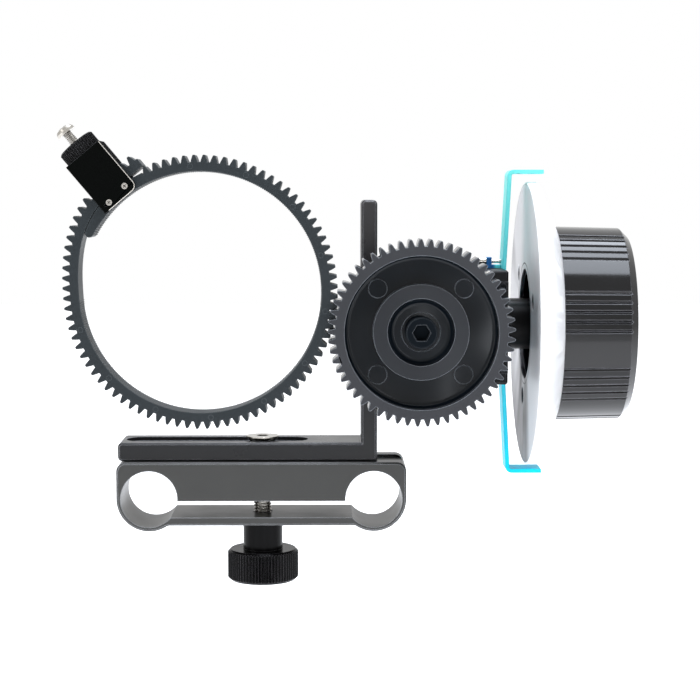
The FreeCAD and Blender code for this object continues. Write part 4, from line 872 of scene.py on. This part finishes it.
knob = {"left": 78.55, "axisHeight": 46.3, "radius": 26.1, "length": 19.2, "taper": 0.4,
        "chamfer": 2.0, "stemRadius": 23.5, "stem": 6.5, "bore": 15.8, "shelf": 2.0,
        "wall": 6.0, "floor": 6.0, "dishRadius": 14.0, "dishDepth": 2.4, "hub": 7.5,
        "dishSlope": 0.7, "hubLength": 3.5, "seat": 1.6, "shaft": 4.0, "screwHole": 2.1,
        "divisions": 64, "columns": 5, "groupStep": 8, "grooves": 5, "depth": 0.5, "turn": 10.4,
        "smoothAngle": 4.0, "edge": 0.0001, "edgeAngle": 20.0}


def makeKnob():
    end = knob["radius"] - knob["taper"]
    inner = knob["radius"] - knob["wall"]
    deep = knob["length"] - knob["floor"]
    dish = knob["length"] - knob["dishDepth"]
    outline = [(knob["bore"], -knob["stem"]), (knob["stemRadius"], -knob["stem"]),
               (knob["stemRadius"], 0.0), (knob["radius"], 0.0),
               (end, knob["length"] - knob["chamfer"]), (end - knob["chamfer"], knob["length"]),
               (knob["dishRadius"] + knob["dishSlope"], knob["length"]), (knob["dishRadius"], dish),
               (knob["screwHole"], dish), (knob["screwHole"], deep + knob["seat"]),
               (knob["shaft"], deep + knob["seat"]), (knob["shaft"], deep - knob["hubLength"]),
               (knob["hub"], deep - knob["hubLength"]), (knob["hub"], deep), (inner, deep),
               (inner, knob["shelf"]), (knob["bore"], knob["shelf"]), (knob["bore"], -knob["stem"])]
    carve = [0.0] * len(outline)
    slide = [0.0] * len(outline)
    low, high = 3, 4  # the rows at the two ends of the grooved side
    carve[low] = carve[high] = slide[high] = 1.0
    shape = bpy.data.meshes.new("knobOutline")
    shape.from_pydata([(radius * mm, 0.0, height * mm) for radius, height in outline], [], [])
    for label, values in (("carve", carve), ("slide", slide)):
        shape.attributes.new(label, "FLOAT", "POINT").data.foreach_set("value", values)
    holder = newObject("knobOutline", shape)
    beforeFloor = (knob["columns"] - 1) / knob["columns"]  # of a division, up to its groove's floor
    middle = 360.0 / knob["divisions"] * ((knob["grooves"] - 1) / 2 + beforeFloor)
    mesh = grow("knob", "handKnob", bpy.data.meshes.new("knobStart"), slotOf["hand_knob"], {
        "Outline": holder, "Divisions": knob["divisions"], "Columns": knob["columns"],
        "Group Step": knob["groupStep"], "Group Grooves": knob["grooves"],
        "Groove Depth": knob["depth"] * mm,
        "Turn": math.radians(-90.0 - knob["turn"] - middle)})
    bpy.data.objects.remove(holder)
    mesh.transform(axes((0, 0, -1), (0, 1, 0), (1, 0, 0),
                        Vector((knob["left"], 0.0, knob["axisHeight"])) * mm))
    pointOut(mesh)
    smooth(mesh, knob["smoothAngle"])
    easeEdges(standFor("hand_knob", "handKnob", mesh), knob["edge"], knob["edgeAngle"])
    print("knob made:", len(mesh.polygons), "faces")


makeKnob()


bandMarks = {"radius": 31.55, "count": 11, "start": 197.2, "sweep": 257.14, "size": 0.8,
             "topSize": 0.66, "height": 0.12, "sides": 20}
gripRibs = {"count": 330, "start": -175.8, "sweep": 327.4, "size": 0.22, "sink": 0.02,
            "shorter": 0.1, "sides": 3}


def onBand(y):
    return axes((1, 0, 0), (0, 0, 1), (0, -1, 0), Vector((ring["x"], y, ring["z"])) * mm)


def makeBandDetails():
    empty = bpy.data.meshes.new("bandStart")
    marks = grow("arc", "mouldMarks", empty, slotOf["lens_gear_band"], {
        "Radius": bandMarks["radius"] * mm, "Count": bandMarks["count"],
        "Start": math.radians(bandMarks["start"]), "Sweep": math.radians(bandMarks["sweep"]),
        "Sides": bandMarks["sides"], "Top Radius": bandMarks["topSize"] * mm,
        "Base Radius": bandMarks["size"] * mm, "Prism Length": bandMarks["height"] * mm})
    marks.transform(onBand(ring["front"]))
    addDetail("lens_gear_band", "mouldMarks", marks)
    ribs = grow("arc", "bandGripRibs", empty, slotOf["lens_gear_band"], {
        "Radius": (ring["inner"] + gripRibs["sink"]) * mm, "Count": gripRibs["count"],
        "Start": math.radians(gripRibs["start"]), "Sweep": math.radians(gripRibs["sweep"]),
        "Sides": gripRibs["sides"], "Top Radius": gripRibs["size"] * mm,
        "Base Radius": gripRibs["size"] * mm,
        "Prism Length": (ring["width"] - gripRibs["shorter"]) * mm})
    ribs.transform(onBand(ring["front"] + ring["width"] / 2))
    addDetail("lens_gear_band", "bandGripRibs", ribs)


coverTrim = {"inset": 0.14, "width": 0.2, "height": 0.12, "corner": 1.55, "cornerSteps": 6,
             "startInset": 1.3, "endInset": 0.3, "proud": 0.02}


def makeCoverTrim():
    # the polished edge on the cover's right and lower sides
    origin = blockPlace(0, 0, 0)
    points = [vert.co - origin for vert in bpy.data.objects["ringBlockCover"].data.vertices]
    right = max(point.dot(blockRight) for point in points) - coverTrim["inset"] * mm
    left = min(point.dot(blockRight) for point in points) + coverTrim["startInset"] * mm
    low = min(point.dot(blockUp) for point in points) + coverTrim["inset"] * mm
    high = max(point.dot(blockUp) for point in points) - coverTrim["endInset"] * mm
    front = min(point.y for point in points) - coverTrim["proud"] * mm
    line = bpy.data.meshes.new("coverTrimLine")
    line.from_pydata([(right, high, 0.0), (right, low, 0.0), (left, low, 0.0)],
                     [(0, 1), (1, 2)], [])
    mesh = grow("trim", "coverTrim", line, "nickel_steel", {
        "Corner Radius": coverTrim["corner"] * mm, "Corner Steps": coverTrim["cornerSteps"],
        "Bead Width": coverTrim["width"] * mm, "Bead Height": coverTrim["height"] * mm})
    mesh.transform(axes(blockRight, blockUp, gearAxis, origin + Vector((0.0, front, 0.0))))
    pointOut(mesh)
    addPiece("coverTrim", mesh, "nickel_steel", bodyOf["ring_block_cover"])


def makeSerrations():
    # fine ribs on the block's right side, from its lower edge to its roof
    origin = blockPlace(0, 0, 0)
    top = max((vert.co - origin).dot(blockUp) for vert in nodes["ring_block"].data.vertices) / mm
    step = (block["roof"] - 2 * block["serrationInset"]) / (block["serrations"] - 1)
    ribs = grow("row", "blockSerrations", bpy.data.meshes.new("ribStart"), slotOf["ring_block"], {
        "Count": block["serrations"], "Step": step * mm,
        "Rib Radius": block["serrationSize"] * mm, "Rib Length": block["depth"] * mm})
    lowest = blockPlace(block["right"], top - block["roof"] + block["serrationInset"],
                        block["middle"])
    ribs.transform(axes(blockRight, blockUp, gearAxis, lowest))
    addDetail("ring_block", "blockSerrations", ribs)


makeBandDetails()
makeCoverTrim()
makeSerrations()
made = {"hand_knob", *crossScrews, *threads}
hidden = [node for node in nodes if node not in dressed and node not in made]
for node in hidden:
    coat(nodes[node].data, slotOf[node])
print("band details made; nodes left as they are:", len(hidden))


camera = {"place": (18.6, -477.37, 80.71), "pitch": 4.98, "turn": 0.616, "focalPixels": 1771.5,
          "framePixels": 700, "filmWidth": 36.0, "near": 0.01, "far": 50.0}
floorLook = {"drop": 0.11, "size": 6.0, "colour": 0.8, "glow": 0.75}
lamps = {
    "over": {"place": (0.15, 0.1, 0.95), "size": (0.6, 1.08), "power": 20.0,
             "colour": (0.84, 0.9, 1.0), "aim": (0.15, 0.2, 0.0)},
    "left": {"place": (-0.95, -0.45, 0.35), "size": (0.3, 0.8), "power": 4.0,
             "colour": (1.0, 1.0, 1.0)},
    "right": {"place": (0.95, -0.5, 0.4), "size": (0.25, 0.8), "power": 1.7,
              "colour": (1.0, 1.0, 1.0)},
    "strip": {"place": (0.15, -0.95, -0.05), "size": (0.04, 0.5), "power": 0.7,
              "colour": (0.9, 0.94, 1.0)},
    "table": {"place": (0.1, -0.3, -0.14), "size": (0.9, 0.3), "power": 0.9,
              "colour": (0.95, 0.95, 1.0), "aim": (0.1, -0.2, 1.0)},
}
# the world's strength, from the camera's side of the object to the far side
studio = {"front": 0.18, "frontEnd": -0.75, "behind": 1.0, "behindStart": 0.35,
          "tint": (0.96, 0.97, 1.0)}


def makeCamera():
    data = bpy.data.cameras.new("view")
    data.sensor_width = camera["filmWidth"]
    data.lens = camera["focalPixels"] / camera["framePixels"] * data.sensor_width
    data.clip_start = camera["near"]
    data.clip_end = camera["far"]
    view = newObject("view", data)
    view.location = Vector(camera["place"]) * mm
    view.rotation_euler = (math.radians(90 - camera["pitch"]), 0.0, -math.radians(camera["turn"]))
    bpy.context.scene.camera = view


def seenDirectly(tree):
    # 1 for rays from the camera, in a mirror or through glass
    path = tree.nodes.new("ShaderNodeLightPath")
    both = calc(tree, "MAXIMUM", path.outputs["Is Glossy Ray"], path.outputs["Is Transmission Ray"])
    return calc(tree, "MAXIMUM", path.outputs["Is Camera Ray"], both)


def showTwo(tree, output, hidden, seen):
    # one shader for the light that falls on things, and another for what is seen directly
    mixed = addNode(tree, "ShaderNodeMixShader", {0: seenDirectly(tree), 1: hidden, 2: seen})
    addNode(tree, output, {"Surface": mixed.outputs["Shader"]})


def makeFloor():
    low, high = cadBox
    middle = (low + high) / 2
    half = floorLook["size"] / 2
    level = low.z - floorLook["drop"]
    mesh = bpy.data.meshes.new("floor")
    corners = [(middle.x + x * half, middle.y + y * half, level)
               for x, y in ((-1, -1), (1, -1), (1, 1), (-1, 1))]
    mesh.from_pydata(corners, [], [(0, 1, 2, 3)])
    floor = newObject("floor", mesh)
    material = bpy.data.materials.new("paleFloor")
    material.use_nodes = True
    tree = material.node_tree
    tree.nodes.clear()
    shade = floorLook["colour"]
    diffuse = addNode(tree, "ShaderNodeBsdfDiffuse", {"Color": (shade, shade, shade, 1.0)})
    glow = addNode(tree, "ShaderNodeEmission", {"Color": (1.0, 1.0, 1.0, 1.0),
                   "Strength": floorLook["glow"]})
    both = addNode(tree, "ShaderNodeAddShader", {0: diffuse.outputs["BSDF"],
                   1: glow.outputs["Emission"]})
    showTwo(tree, "ShaderNodeOutputMaterial", diffuse.outputs["BSDF"], both.outputs["Shader"])
    mesh.materials.append(material)


def makeWorld():
    world = bpy.data.worlds.new("studio")
    bpy.context.scene.world = world
    world.use_nodes = True
    tree = world.node_tree
    tree.nodes.clear()
    coords = tree.nodes.new("ShaderNodeTexCoord")
    parts = addNode(tree, "ShaderNodeSeparateXYZ", {"Vector": coords.outputs["Generated"]})
    strength = ramp(tree, parts.outputs["Y"], studio["frontEnd"], studio["behindStart"],
                    studio["front"], studio["behind"])
    around = addNode(tree, "ShaderNodeBackground", {"Strength": strength,
                     "Color": (*studio["tint"], 1.0)})
    white = addNode(tree, "ShaderNodeBackground", {"Strength": 1.0,
                    "Color": (1.0, 1.0, 1.0, 1.0)})
    showTwo(tree, "ShaderNodeOutputWorld", around.outputs["Background"],
            white.outputs["Background"])


def makeLamps():
    low, high = cadBox
    middle = (low + high) / 2
    for name, lamp in lamps.items():
        data = bpy.data.lights.new(name, "AREA")
        data.shape = "RECTANGLE"
        data.size, data.size_y = lamp["size"]
        data.energy = lamp["power"]
        data.color = lamp["colour"]
        light = newObject(name, data)
        light.location = middle + Vector(lamp["place"])
        aim = Vector(lamp.get("aim", (0.0, 0.0, 0.0))) - Vector(lamp["place"])
        light.rotation_euler = aim.to_track_quat("-Z", "Y").to_euler()


makeCamera()
makeFloor()
makeWorld()
makeLamps()
bpy.context.scene.view_settings.view_transform = "Standard"
print("camera, floor and light set")
